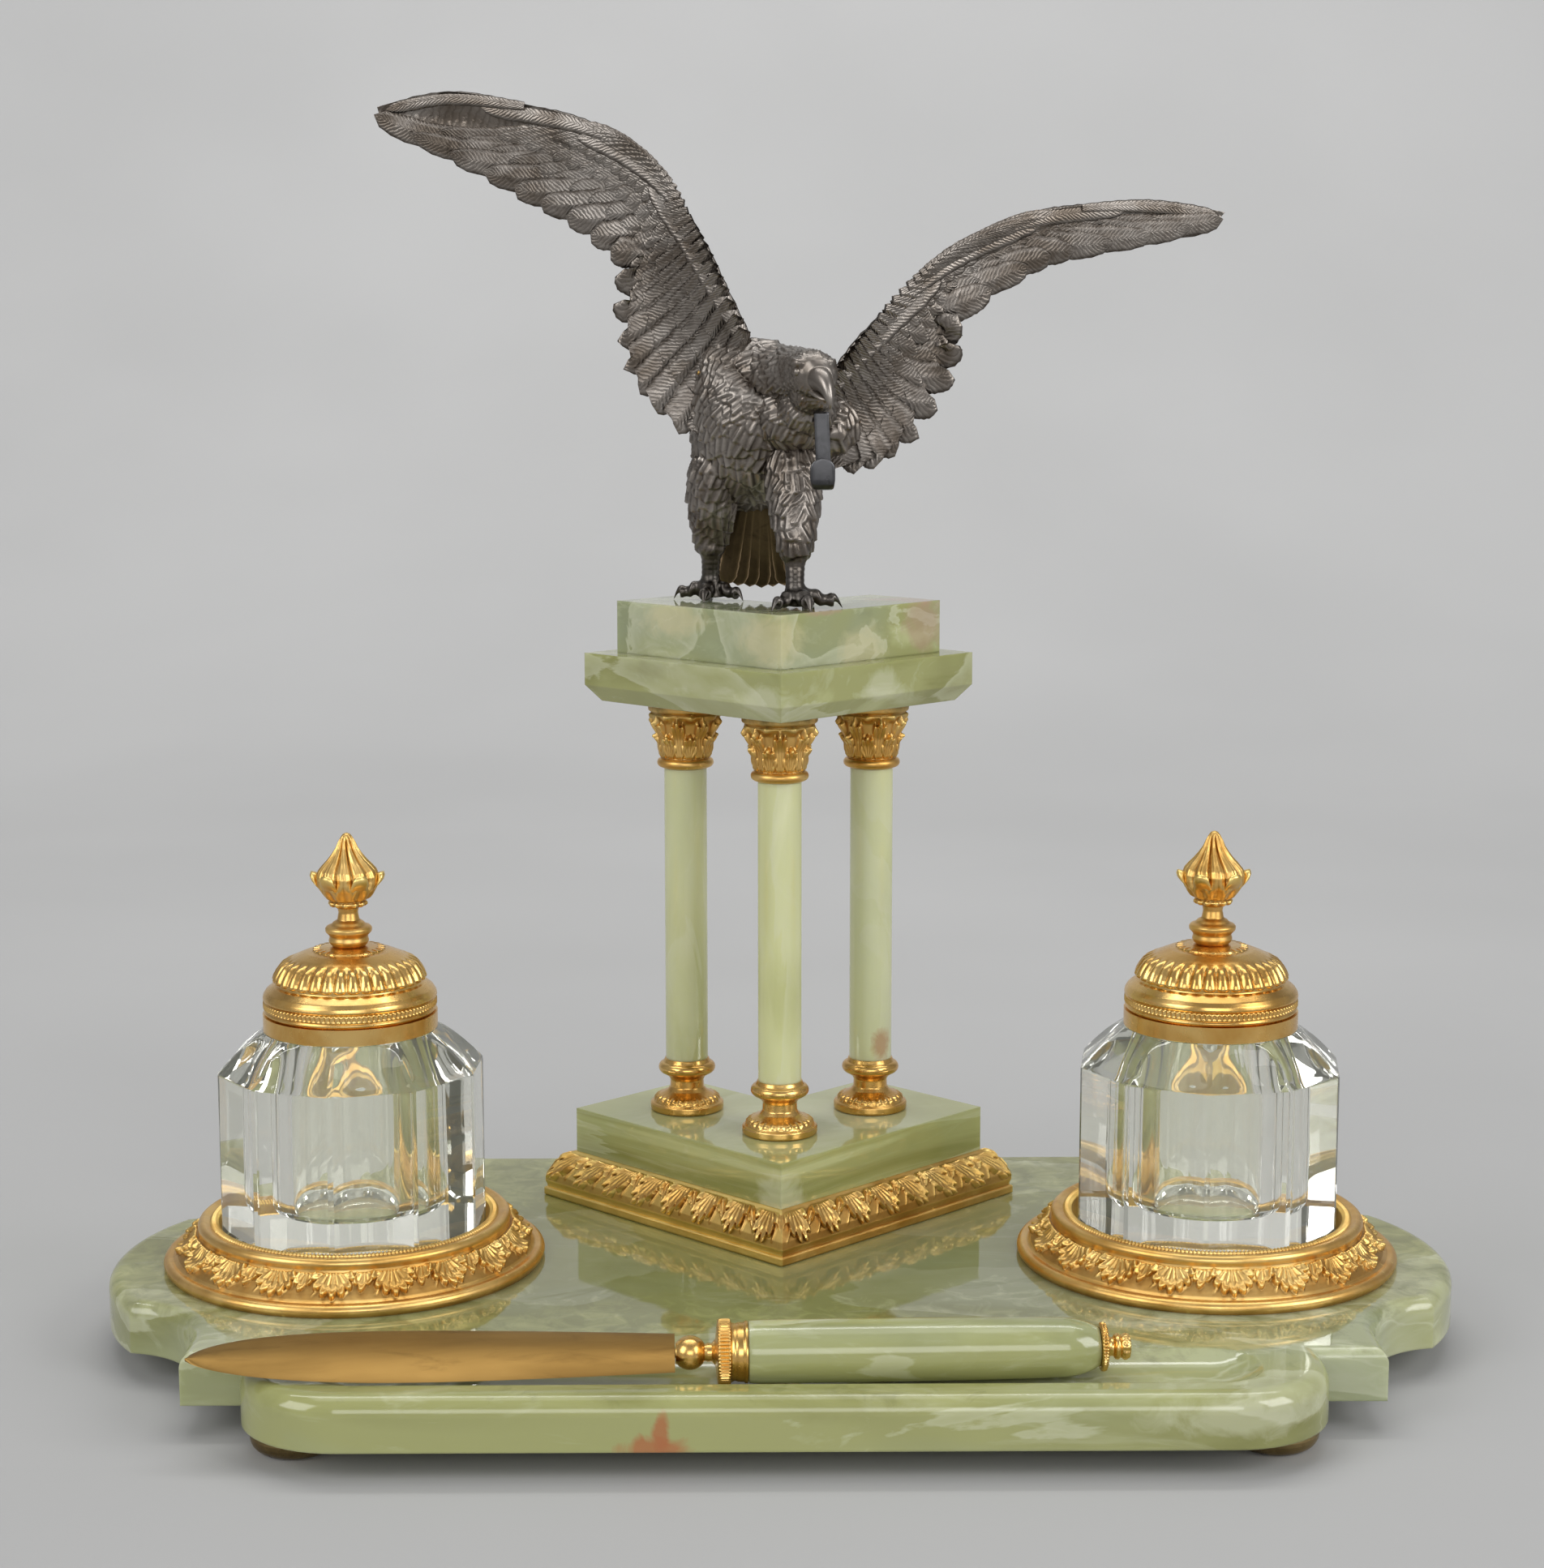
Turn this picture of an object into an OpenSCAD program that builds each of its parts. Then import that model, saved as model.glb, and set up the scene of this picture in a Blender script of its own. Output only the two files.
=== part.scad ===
// Desk inkstand: onyx base slab on bun feet with two faceted glass ink bottles in gilt rings, a three-column
// onyx tower carrying a bronze eagle with raised wings, and a paper knife lying in a pen trough.
// All sizes in mm. Origin at the middle of the footprint on the desk, +Z up, front towards -Y.

/* [Base slab] */
// depth of the slab, front to back
slab_depth = 216; // [208:1:240]
// width of the front and back bars
bar_w = 277; // [272:1:290]
// width across the square shoulders
shoulder_w = 311; // [304:1:320]
// depth across the square shoulders
shoulder_d = 158; // [152:1:164]
// thickness of the slab
slab_h = 14; // [12:0.5:20]
// radius of the round lobes that carry the ink wells
lobe_r = 68.5; // [67.5:0.5:70]
// radius of the hollow between each lobe and shoulder
cove_r = 24.8; // [20:0.2:28]
// plan radius of the bar corners
bar_corner_r = 27; // [18:1:34]
// rounding along the top edge of the bars
bar_edge_r = 5; // [2:0.5:6]
// rounding along the top edge of lobes and shoulders
lobe_edge_r = 4; // [2:0.5:5]

/* [Feet] */
// height of each bun foot
foot_h = 8; // [7:0.5:14]
// widest diameter of each bun foot
foot_d = 23.5; // [20:0.5:28]
// half distance between feet, side to side
foot_x = 124.5; // [110:0.5:126]
// half distance between feet, front to back
foot_y = 83; // [78:1:92]

/* [Pen trough] */
// overall length of the trough
trough_l = 242; // [236:1:250]
// width of the trough at the top of the slab
trough_w = 25; // [23:0.5:28]
// depth of the trough
trough_depth = 4.7; // [4:0.1:6]
// distance of the trough line in front of the slab middle
trough_y = 86; // [84:0.5:86.5]

/* [Ink wells] */
// half distance between the two wells
well_x = 120.4; // [118:0.2:124]
// distance of the wells behind the slab middle
well_y = 4; // [0:0.5:6]
// width of the gilt rings, from bore to rim
ring_w = 15.3; // [14:0.1:18]
// height of the gilt rings
ring_h = 13.4; // [10:0.2:16]
// gap between bottle corners and ring
ring_gap = 0.6; // [0.4:0.1:1.5]
// corner radius of the ten-sided bottles
bottle_r = 37.4; // [34:0.1:39]
// height of the upright bottle faces
bottle_h = 56; // [48:1:66]
// height of the sloping shoulder above the faces
shoulder_h = 11; // [8:0.5:14]
// outer radius of the bottle neck
neck_r = 22.6; // [20:0.1:23]
// radius of the ink well inside the bottle
ink_r = 17; // [12:0.5:18]
// glass left under the ink well
ink_floor = 14; // [6:0.5:18]
// turn of the left bottle about its axis
left_turn = 16; // [0:1:36]
// turn of the right bottle about its axis
right_turn = 9; // [0:1:36]

/* [Lids] */
// outer radius of the neck collar
collar_r = 24.2; // [24:0.1:25]
// height of the collar
collar_h = 4.5; // [3.6:0.1:6]
// height of the domed lid
lid_h = 18.5; // [16:0.1:22]
// widest radius of the domed lid
lid_r = 24.3; // [23.8:0.1:24.8]
// sheet thickness of the lid
lid_wall = 1.5; // [1:0.1:2.5]
// hinge axis behind the bottle axis
hinge_back = 27.6; // [27.4:0.1:29]
// radius of the hinge barrels
hinge_r = 2.2; // [1.8:0.1:2.3]
// radius of the hinge pin
hinge_pin_r = 1; // [0.8:0.05:1.2]
// free space around the hinge pin
hinge_play = 0.05; // [0.02:0.01:0.1]
// height of the bud finial above the lid
finial_h = 32; // [26:0.1:36]

/* [Tower] */
// distance of the side columns behind the slab middle
tower_y = 64.4; // [60:0.2:64.4]
// half distance between the outer side corners of the plinth
tower_d = 61.2; // [58:0.2:64]
// width of the two arms of the plinth
arm_w = 47.4; // [44:0.2:50]
// height of the plinth
plinth_h = 27; // [22:0.5:32]
// projection of the leaf moulding around the plinth
mould_out = 7.1; // [5:0.1:8]
// height of the leaf moulding
mould_h = 13.7; // [10:0.1:16]
// height of each column base
base_h = 15.8; // [13:0.1:18]
// radius of the column base foot
base_r = 11; // [10:0.1:12]
// length of each column shaft
shaft_h = 88.5; // [70:0.5:110]
// radius of each column shaft
shaft_r = 6.35; // [5.6:0.05:7]
// height of each capital
capital_h = 19.9; // [16:0.1:22]
// widest radius of each capital
capital_r = 11.4; // [10.5:0.1:12]
// height of the upper slab over the columns
upper_h = 14.3; // [12:0.1:20]
// how far the upper slab stands in from the plinth
upper_in = 2.7; // [1:0.1:4]
// height of the sloping under-edge of the upper slab
upper_bevel = 4.8; // [3:0.1:8]
// how far the under-edge slopes inwards
upper_slope = 3.6; // [1:0.1:5]
// height of the top block
block_h = 15.4; // [13:0.1:20]
// how far the top block stands in from the plinth
block_in = 9.6; // [8:0.1:10]
// radius of the tie rods inside the columns
rod_r = 2; // [1.5:0.1:2.2]
// free space around rods, screws and studs
hole_gap = 0.3; // [0.1:0.05:0.5]

/* [Eagle] */
// thickness of the wings at the leading edge
wing_t = 4.2; // [3.4:0.1:6]
// depth of the notches between feather tips
feather_dip = 3.2; // [0:0.2:5]
// number of feather tips along each wing
feather_count = 11; // [7:1:15]
// how far the wing tips sweep backwards
wing_sweep = 35; // [20:1:44]
// hollow of each wing from edge to edge
wing_camber = 3.5; // [1:0.5:6]
// width of the watch hook strap
hook_w = 5.4; // [4:0.1:7]
// thickness of the watch hook strap
hook_t = 1.4; // [1:0.1:2]

/* [Paper knife] */
// length of the blade from heel to tip
blade_l = 122.8; // [100:1:124]
// widest width of the blade
blade_w = 21; // [16:0.5:22]
// thickness of the blade along its middle
blade_t = 2.6; // [2.4:0.1:3.2]
// turn of the blade about the knife axis
blade_tilt = 20; // [0:1:22]
// how far the knife lies askew in the trough
knife_turn = 1.8; // [0:0.1:2]
// diameter of the stone handle
handle_d = 16; // [13:0.5:16.4]
// length of the stone handle
handle_l = 89.3; // [80:0.5:91]
// radius of the milled ring
mill_r = 8.4; // [8.3:0.1:8.8]
// place of the blade heel, measured from the slab middle
heel_x = -28; // [-30:0.5:-27]
// gap between the knife and the trough floor
knife_gap = 0.3; // [0.2:0.1:0.6]

/* [Hidden] */
fine = 96;
top_z = foot_h + slab_h;
ring_bore = bottle_r + ring_gap;
ring_r = ring_bore + ring_w;
ring_screw_r = ring_bore + 8;
back_mid = 2 * well_y;
cove_x = shoulder_w / 2 + cove_r;
cove_y = well_y - shoulder_d / 2 + 15;
trough_r = (pow(trough_w / 2, 2) + pow(trough_depth, 2)) / (2 * trough_depth);
trough_z = top_z - trough_depth + trough_r;
knife_z = top_z - trough_depth + knife_gap + max(mill_r, handle_d / 2);
column_x = tower_d - arm_w / sqrt(2);
plinth_z = top_z + plinth_h;
shaft_z = plinth_z + base_h;
cap_z = shaft_z + shaft_h;
upper_z = cap_z + capital_h;
block_z = upper_z + upper_h;
perch_z = block_z + block_h;
neck_top = bottle_h + shoulder_h + 3.9;
lid_z = top_z + bottle_h + shoulder_h + collar_h;
columns = [[-column_x, 0], [column_x, 0], [0, -column_x]];
studs = [[-21, 5, 2.6], [8, -21, 2.2]];
stud_r = 1.5;

// point of a smooth line through the points p, t from 0 at the first to 1 at the last
function through(p, t) = let (n = len(p) - 1, i = min(n - 1, floor(t * n)), u = t * n - i,
    a = p[max(0, i - 1)], b = p[i], c = p[i + 1], d = p[min(n, i + 2)])
  b + 0.5 * u * (c - a + u * (2 * a - 5 * b + 4 * c - d + u * (3 * (b - c) + d - a)));
// ring of n points, half widths a and b, leaning forward by lean degrees, its +X side dropping by drop
function oval(c, a, b, lean, drop = 0, n = 20) = [for (i = [0:n - 1]) let (t = 360 * i / n)
  [c[0] + a * cos(t), c[1] + b * sin(t) * cos(lean), c[2] + b * sin(t) * sin(lean) - drop * a * cos(t)]];
// one ring of n points square to a level direction
function wheel(c, r, dir, n = 12) = [for (i = [0:n - 1]) let (t = 360 * i / n)
  [c[0] - r * cos(t) * sin(dir), c[1] + r * cos(t) * cos(dir), c[2] + r * sin(t)]];
// outline of the two-armed plan, moved outwards by off
function arms(off) = let (s = arm_w / sqrt(2), o = off * sqrt(2))
  [[0, -tower_d - o], [tower_d + o, 0], [tower_d - s, s + o], [0, -tower_d + 2 * s + o],
   [-tower_d + s, s + o], [-tower_d - o, 0]];
// steps of a rounded corner, centre c, radius r, from angle a0 to a1
function bend(c, r, a0, a1, n = 6) = [for (i = [0:n]) let (t = a0 + (a1 - a0) * i / n)
  [c[0] + r * cos(t), c[1] + r * sin(t)]];

// skin over rings that all have the same number of points
module skin(rings) {
  n = len(rings[0]);
  m = len(rings);
  pts = [for (r = rings) each r];
  sides = [for (i = [0:m - 2], j = [0:n - 1]) let (k = (j + 1) % n)
    each [[i * n + j, i * n + n + k, i * n + k], [i * n + j, i * n + n + j, i * n + n + k]]];
  polyhedron(concat(pts), concat([[for (j = [0:n - 1]) j]], sides,
    [[for (j = [n - 1:-1:0]) (m - 1) * n + j]]), convexity = 6);
}

// the same rings in the opposite order
function turned(rings) = [for (i = [len(rings) - 1:-1:0]) rings[i]];

// mitred strip round the two-armed plan, its profile in [offset, height], all between two offsets
module band(profile, off0, off1, h) {
  a = arms(off0);
  b = arms(off1);
  c = arms(0);
  for (i = [0:5]) let (j = (i + 1) % 6, d = c[j] - c[i]) intersection() {
    translate([0, 0, -2]) linear_extrude(h + 4) polygon([b[i], b[j], a[j], a[i]]);
    translate([c[i][0], c[i][1], 0]) rotate([0, 0, atan2(-d[0], d[1])]) rotate([90, 0, 0])
      linear_extrude(400, center = true) polygon(profile);
  }
}

// holes for the three tie rods between two heights
module rod_holes(z0, z1, r = rod_r + hole_gap) {
  for (c = columns) translate([c[0], tower_y + c[1], z0]) cylinder(r = r, h = z1 - z0, $fn = fine);
}

// Base slab

// round plate with a rounded top edge
module round_plate(r, e) {
  rotate_extrude($fn = fine) {
    square([r, slab_h - e]);
    square([r - e, slab_h]);
    translate([r - e, slab_h - e]) circle(r = e, $fn = fine);
  }
}

// half of a plate edge on, w from the middle, rounded at its top
module edge_half(w, e) {
  square([w, slab_h - e]);
  square([w - e, slab_h]);
  translate([w - e, slab_h - e]) circle(r = e, $fn = fine);
}

module edge_full(w, e) {
  edge_half(w, e);
  mirror([1, 0]) edge_half(w, e);
}

// plate with rounded plan corners and a rounded top edge
module bar_plate(w, d, c, e) {
  for (sx = [-1, 1], sy = [-1, 1]) translate([sx * (w / 2 - c), sy * (d / 2 - c), 0]) round_plate(c, e);
  translate([-w / 2 + c, 0, 0]) rotate([90, 0, 90]) linear_extrude(w - 2 * c) edge_full(d / 2, e);
  translate([0, d / 2 - c, 0]) rotate([90, 0, 0]) linear_extrude(d - 2 * c) edge_full(w / 2, e);
}

// cutter for one hollow beside a shoulder, with a flared top
module cove_cut(e) {
  translate([cove_x, cove_y, -1]) rotate_extrude($fn = fine) {
    square([cove_r, slab_h + 2]);
    difference() {
      translate([0, slab_h + 1 - e]) square([cove_r + e, e + 1]);
      translate([cove_r + e, slab_h + 1 - e]) circle(r = e, $fn = fine);
    }
  }
  translate([0, cove_y, 0]) rotate([90, 0, 0]) linear_extrude(30) {
    translate([shoulder_w / 2, -1]) square([40, slab_h + 2]);
    difference() {
      translate([shoulder_w / 2 - e, slab_h - e]) square([40, e + 1]);
      translate([shoulder_w / 2 - e, slab_h - e]) circle(r = e, $fn = fine);
    }
  }
}

module slab_body() {
  difference() {
    union() {
      for (s = [-1, 1]) translate([s * well_x, well_y, 0]) round_plate(lobe_r, lobe_edge_r);
      translate([-shoulder_w / 2 - 16, well_y, 0]) rotate([90, 0, 90])
        linear_extrude(shoulder_w + 32) edge_full(shoulder_d / 2, 3);
    }
    for (s = [0, 1], q = [0, 1]) mirror([s, 0, 0]) translate([0, q * back_mid, 0])
      mirror([0, q, 0]) cove_cut(lobe_edge_r);
  }
  bar_plate(bar_w, slab_depth, bar_corner_r, bar_edge_r);
}

// round-ended hollow turned about its own long axis
module trough_cut() {
  half = trough_l / 2 - trough_w / 2;
  translate([0, -trough_y, trough_z]) rotate([0, 90, 0]) rotate_extrude($fn = fine)
    polygon(concat([[0, -half - trough_r]], bend([0, -half], trough_r, -88, 0, 12),
      bend([0, half], trough_r, 0, 88, 12), [[0, half + trough_r]]));
}

module base_slab() {
  color([0.62, 0.64, 0.48]) difference() {
    translate([0, 0, foot_h]) slab_body();
    trough_cut();
    rod_holes(foot_h - 1, top_z + 1);
    rod_holes(foot_h - 1, foot_h + 6, 5.6);
    for (sx = [-1, 1], sy = [-1, 1]) translate([sx * foot_x, sy * foot_y, foot_h - 1])
      cylinder(r = 1.6, h = 9.2, $fn = fine);
    for (s = [-1, 1], a = [0, 180]) translate([s * well_x, well_y, foot_h - 1]) rotate([0, 0, a])
      translate([ring_screw_r, 0, 0]) {
        cylinder(r = 1.5 + hole_gap, h = slab_h + 2, $fn = fine);
        cylinder(r = 4, h = 6, $fn = fine);
      }
  }
}

// Feet and their screws

module bun_foot() {
  color([0.45, 0.34, 0.16]) difference() {
    rotate_extrude($fn = fine) polygon(concat([[0, 0]],
      bend([foot_d / 2 - foot_h * 0.5, foot_h / 2], foot_h / 2, -90, 90, 12), [[0, foot_h]]));
    translate([0, 0, -1]) cylinder(r = 1.5 + hole_gap, h = foot_h + 2, $fn = fine);
    translate([0, 0, -1]) cylinder(r = 3.6, h = 3.6, $fn = fine);
  }
}

module foot_front_left() { translate([-foot_x, -foot_y, 0]) bun_foot(); }
module foot_front_right() { translate([foot_x, -foot_y, 0]) bun_foot(); }
module foot_back_left() { translate([-foot_x, foot_y, 0]) bun_foot(); }
module foot_back_right() { translate([foot_x, foot_y, 0]) bun_foot(); }

module foot_screws() {
  color([0.55, 0.55, 0.55]) for (sx = [-1, 1], sy = [-1, 1]) translate([sx * foot_x, sy * foot_y, 0]) {
    translate([0, 0, 0.4]) difference() {
      cylinder(r = 3.2, h = 2.2, $fn = fine);
      translate([-4, -0.4, -0.2]) cube([8, 0.8, 1]);
    }
    translate([0, 0, 2.5]) cylinder(r = 1.5, h = foot_h + 5, $fn = fine);
  }
}

// Gilt rings around the bottles

module gilt_ring() {
  k = ring_h - 13.4;
  color([0.72, 0.55, 0.25]) difference() {
    rotate_extrude($fn = fine) polygon(concat(
      [[ring_bore, 0], [ring_r - 0.9, 0]], bend([ring_r - 1.7, 1.7], 1.7, -40, 100, 8),
      [[ring_r - 2.8, 3.3], [ring_r - 3.4, 3.6], [ring_r - 7.2, 7 + k], [ring_r - 8.8, 9.3 + k],
       [ring_r - 9.6, 9.6 + k], [ring_r - 9.8, 10.4 + k]],
      bend([ring_r - 11.2, 11.6 + k], 1.6, -20, 95, 6),
      [[ring_bore + 1.6, 13 + k], [ring_bore + 1.3, 13.4 + k], [ring_bore + 0.2, 13.4 + k],
       [ring_bore, 13 + k]]));
    for (a = [0, 180]) rotate([0, 0, a]) translate([ring_screw_r, 0, -1]) cylinder(r = 1.6, h = 6, $fn = fine);
  }
}

module left_ring() { translate([-well_x, well_y, top_z]) gilt_ring(); }
module right_ring() { translate([well_x, well_y, top_z]) gilt_ring(); }

module ring_screws() {
  color([0.55, 0.55, 0.55]) for (s = [-1, 1], a = [0, 180])
    translate([s * well_x, well_y, foot_h]) rotate([0, 0, a]) translate([ring_screw_r, 0, 0]) {
      translate([0, 0, 2.6]) difference() {
        cylinder(r = 3.2, h = 2.4, $fn = fine);
        translate([-4, -0.4, -0.2]) cube([8, 0.8, 1]);
      }
      translate([0, 0, 4.9]) cylinder(r = 1.5, h = slab_h - 0.5, $fn = fine);
    }
}

// Glass bottles, collars, hinges and lids

module ink_bottle(turn) {
  drop = bottle_r - collar_r - 0.4;
  rows = [[bottle_r - 0.8, 0], [bottle_r, 0.8], [bottle_r, bottle_h],
    for (i = [1:6]) let (t = i / 6) [bottle_r - drop * t, bottle_h + shoulder_h * (0.6 * t + 0.4 * sin(90 * t))]];
  color([0.85, 0.92, 0.88, 0.35]) difference() {
    union() {
      rotate([0, 0, turn]) skin([for (r = rows) [for (i = [0:9])
        [r[0] * cos(36 * i), r[0] * sin(36 * i), r[1]]]]);
      translate([0, 0, bottle_h + shoulder_h - 1]) cylinder(r = neck_r, h = 4.9, $fn = fine);
    }
    translate([0, 0, ink_floor + 3]) cylinder(r = ink_r, h = 90, $fn = fine);
    rotate_extrude($fn = fine) polygon(concat([[0, ink_floor]],
      bend([ink_r - 3, ink_floor + 3], 3, -90, 0), [[ink_r, ink_floor + 4], [0, ink_floor + 4]]));
  }
}

module left_bottle() { translate([-well_x, well_y, top_z]) ink_bottle(left_turn); }
module right_bottle() { translate([well_x, well_y, top_z]) ink_bottle(right_turn); }

// barrel of a hinge along X, centred on x
module barrel(x, l) {
  translate([x - l / 2, hinge_back, 0]) rotate([0, 90, 0]) cylinder(r = hinge_r, h = l, $fn = fine);
}

module hinge_bore() {
  translate([-12, hinge_back, 0]) rotate([0, 90, 0])
    cylinder(r = hinge_pin_r + hinge_play, h = 24, $fn = fine);
}

module neck_collar() {
  color([0.74, 0.56, 0.24]) difference() {
    union() {
      translate([0, 0, -collar_h]) cylinder(r = collar_r, h = collar_h, $fn = fine);
      for (s = [-1, 1]) {
        barrel(s * 5.7, 4.6);
        translate([s * 5.7 - 2.3, collar_r - 3, -2]) cube([4.6, hinge_back - collar_r + 3, 1.6]);
      }
    }
    translate([0, 0, -collar_h - 1]) cylinder(r = neck_r + 0.2, h = collar_h + 0.4, $fn = fine);
    translate([0, 0, -2]) cylinder(r = ink_r + 2, h = 3, $fn = fine);
    hinge_bore();
  }
}

module left_collar() { translate([-well_x, well_y, lid_z]) neck_collar(); }
module right_collar() { translate([well_x, well_y, lid_z]) neck_collar(); }

module hinge_pin() {
  color([0.6, 0.6, 0.58]) translate([-8, hinge_back, 0]) rotate([0, 90, 0])
    cylinder(r = hinge_pin_r, h = 16, $fn = fine);
}

module left_hinge_pin() { translate([-well_x, well_y, lid_z]) hinge_pin(); }
module right_hinge_pin() { translate([well_x, well_y, lid_z]) hinge_pin(); }

// radius of the lid outside at height z above its rim
function lid_out(z) = lid_r * lookup(z / lid_h, [[0, 0.965], [0.04, 0.972], [0.08, 1], [0.18, 1], [0.27, 0.988],
  [0.36, 0.957], [0.45, 0.89], [0.49, 0.854], [0.58, 0.831], [0.72, 0.787], [0.83, 0.724], [0.875, 0.689]]);

module domed_lid() {
  top = 0.875 * lid_h;
  steps = [for (i = [0:14]) top * i / 14];
  color([0.76, 0.58, 0.25]) difference() {
    union() {
      rotate_extrude($fn = fine) polygon(concat([[0, 0]], [for (z = steps) [lid_out(z), z]],
        [[12.5, 0.96 * lid_h], [6.6, lid_h], [0, lid_h]]));
      barrel(0, 6);
      translate([-3, collar_r - 2, 0.3]) cube([6, hinge_back - collar_r + 2, 1.7]);
    }
    rotate_extrude($fn = fine) polygon(concat([[0, -1], [lid_out(0) - lid_wall, -1]],
      [for (z = steps) if (z < top - lid_wall) [lid_out(z + 0.6) - lid_wall, z]],
      [[12, 0.96 * lid_h - 1.4 * lid_wall], [0, lid_h - 1.3 * lid_wall]]));
    cylinder(r = 2 + 0.1, h = 60, $fn = fine);
    hinge_bore();
  }
}

module left_lid() { translate([-well_x, well_y, lid_z]) domed_lid(); }
module right_lid() { translate([well_x, well_y, lid_z]) domed_lid(); }

// radius of the finial at height t, both as parts of the finial height
function bud(t) = lookup(t, [[0, 4.6], [0.04, 5.4], [0.12, 6.3], [0.16, 6.5], [0.205, 4.8], [0.235, 3.1],
  [0.30, 2.9], [0.355, 3.2], [0.38, 4.8], [0.41, 6], [0.45, 6.2], [0.49, 7.1], [0.54, 8.3], [0.62, 8.5],
  [0.67, 8.2], [0.725, 7.4], [0.79, 5.3], [0.86, 3.1], [0.92, 1.9], [0.98, 1.3], [1, 0.7]]);

module bud_finial() {
  color([0.76, 0.58, 0.25]) {
    translate([0, 0, lid_h]) rotate_extrude($fn = fine)
      polygon(concat([[0, 0]], [for (i = [0:34]) [bud(i / 34), finial_h * i / 34]], [[0, finial_h]]));
    translate([0, 0, lid_h - 2.6]) cylinder(r = 2, h = 3, $fn = fine);
    for (a = [0:90:270]) rotate([0, 0, a]) translate([9.2, 0, lid_h + 0.64 * finial_h]) sphere(r = 1.4, $fn = 24);
  }
}

module left_finial() { translate([-well_x, well_y, lid_z]) bud_finial(); }
module right_finial() { translate([well_x, well_y, lid_z]) bud_finial(); }

// Tower

module plinth_moulding() {
  o = mould_out;
  h = mould_h;
  color([0.72, 0.54, 0.24]) translate([0, tower_y, top_z])
    band([[0, 0], [o, 0], [o, 0.17 * h], [o - 0.7, 0.2 * h], [o - 0.7, 0.24 * h], [o - 0.2, 0.33 * h],
      [o - 0.5, 0.5 * h], [0.74 * o, 0.7 * h], [0.47 * o, 0.87 * h], [0.17 * o, 0.96 * h], [0.05 * o, h], [0, h]],
      -2, o + 2, h);
}

module plinth() {
  color([0.62, 0.64, 0.46]) difference() {
    translate([0, tower_y, top_z]) linear_extrude(plinth_h) polygon(arms(0));
    rod_holes(top_z - 1, plinth_z + 1);
  }
}

// radius of the column base at height t, as parts of its height
function attic(t) = lookup(t, [[0, base_r - 0.8], [0.04, base_r], [0.15, base_r], [0.2, base_r - 0.8],
  [0.215, base_r - 2], [0.3, base_r - 3.4], [0.37, base_r - 5], [0.44, base_r - 5.9], [0.58, base_r - 6],
  [0.66, base_r - 5.3], [0.7, base_r - 4.4]]);

module column_base() {
  h = base_h;
  color([0.76, 0.58, 0.26]) difference() {
    rotate_extrude($fn = fine) polygon(concat([[0, 0]], [for (i = [0:18]) [attic(i * 0.7 / 18), i * 0.7 * h / 18]],
      bend([base_r - 4.2, 0.82 * h], 0.11 * h, -70, 70, 8), [[shaft_r + 0.3, h], [0, h]]));
    translate([0, 0, -1]) cylinder(r = rod_r + hole_gap, h = h + 2, $fn = fine);
  }
}

module column_shaft() {
  color([0.66, 0.68, 0.52]) difference() {
    cylinder(r = shaft_r, h = shaft_h, $fn = fine);
    translate([0, 0, -1]) cylinder(r = rod_r + hole_gap, h = shaft_h + 2, $fn = fine);
  }
}

module capital() {
  h = capital_h - 1.3;
  r = capital_r;
  color([0.76, 0.58, 0.26]) difference() {
    rotate_extrude($fn = fine) polygon(concat([[0, 0], [shaft_r + 0.4, 0]],
      bend([r - 4.4, 0.085 * h], 0.075 * h, -70, 80, 8),
      [[r - 4.1, 0.18 * h], [r - 3.1, 0.22 * h], [r - 2.5, 0.5 * h], [r - 1.3, 0.74 * h], [r - 0.2, 0.8 * h],
       [r, 0.85 * h], [r - 0.5, 0.88 * h], [r - 1, 0.9 * h], [r - 0.4, 0.93 * h], [r - 0.4, capital_h], [0, capital_h]]));
    translate([0, 0, -1]) cylinder(r = rod_r + hole_gap, h = capital_h + 2, $fn = fine);
  }
}

module on_column(i, z) { translate([columns[i][0], tower_y + columns[i][1], z]) children(); }

module column_base_left() { on_column(0, plinth_z) column_base(); }
module column_base_right() { on_column(1, plinth_z) column_base(); }
module column_base_front() { on_column(2, plinth_z) column_base(); }
module column_shaft_left() { on_column(0, shaft_z) column_shaft(); }
module column_shaft_right() { on_column(1, shaft_z) column_shaft(); }
module column_shaft_front() { on_column(2, shaft_z) column_shaft(); }
module capital_left() { on_column(0, cap_z) capital(); }
module capital_right() { on_column(1, cap_z) capital(); }
module capital_front() { on_column(2, cap_z) capital(); }

module tie_rods() {
  color([0.6, 0.6, 0.6]) for (i = [0:2]) on_column(i, foot_h + 1)
    cylinder(r = rod_r, h = block_z + 9 - foot_h - 1, $fn = fine);
}

module tie_rod_nuts() {
  color([0.58, 0.56, 0.5]) for (i = [0:2]) {
    on_column(i, foot_h + 2) difference() {
      union() {
        cylinder(r = 3.6, h = 3.2, $fn = 6);
        translate([0, 0, 3.2]) cylinder(r = 5, h = 0.8, $fn = fine);
      }
      translate([0, 0, -1]) cylinder(r = rod_r, h = 6, $fn = fine);
    }
    on_column(i, block_z) difference() {
      cylinder(r = 3.4, h = 8, $fn = fine);
      translate([0, 0, -1]) cylinder(r = rod_r, h = 11, $fn = fine);
    }
  }
}

module upper_slab() {
  color([0.64, 0.66, 0.48]) difference() {
    translate([0, tower_y, upper_z]) difference() {
      linear_extrude(upper_h) polygon(arms(-upper_in));
      band([[-upper_in - upper_slope - 0.75 * upper_slope, -0.75 * upper_bevel], [2 - upper_in, -0.75 * upper_bevel],
        [2 - upper_in, upper_bevel], [-upper_in, upper_bevel]], -9 - upper_in - upper_slope, 3, upper_bevel);
    }
    rod_holes(upper_z - 1, block_z + 1);
  }
}

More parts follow.
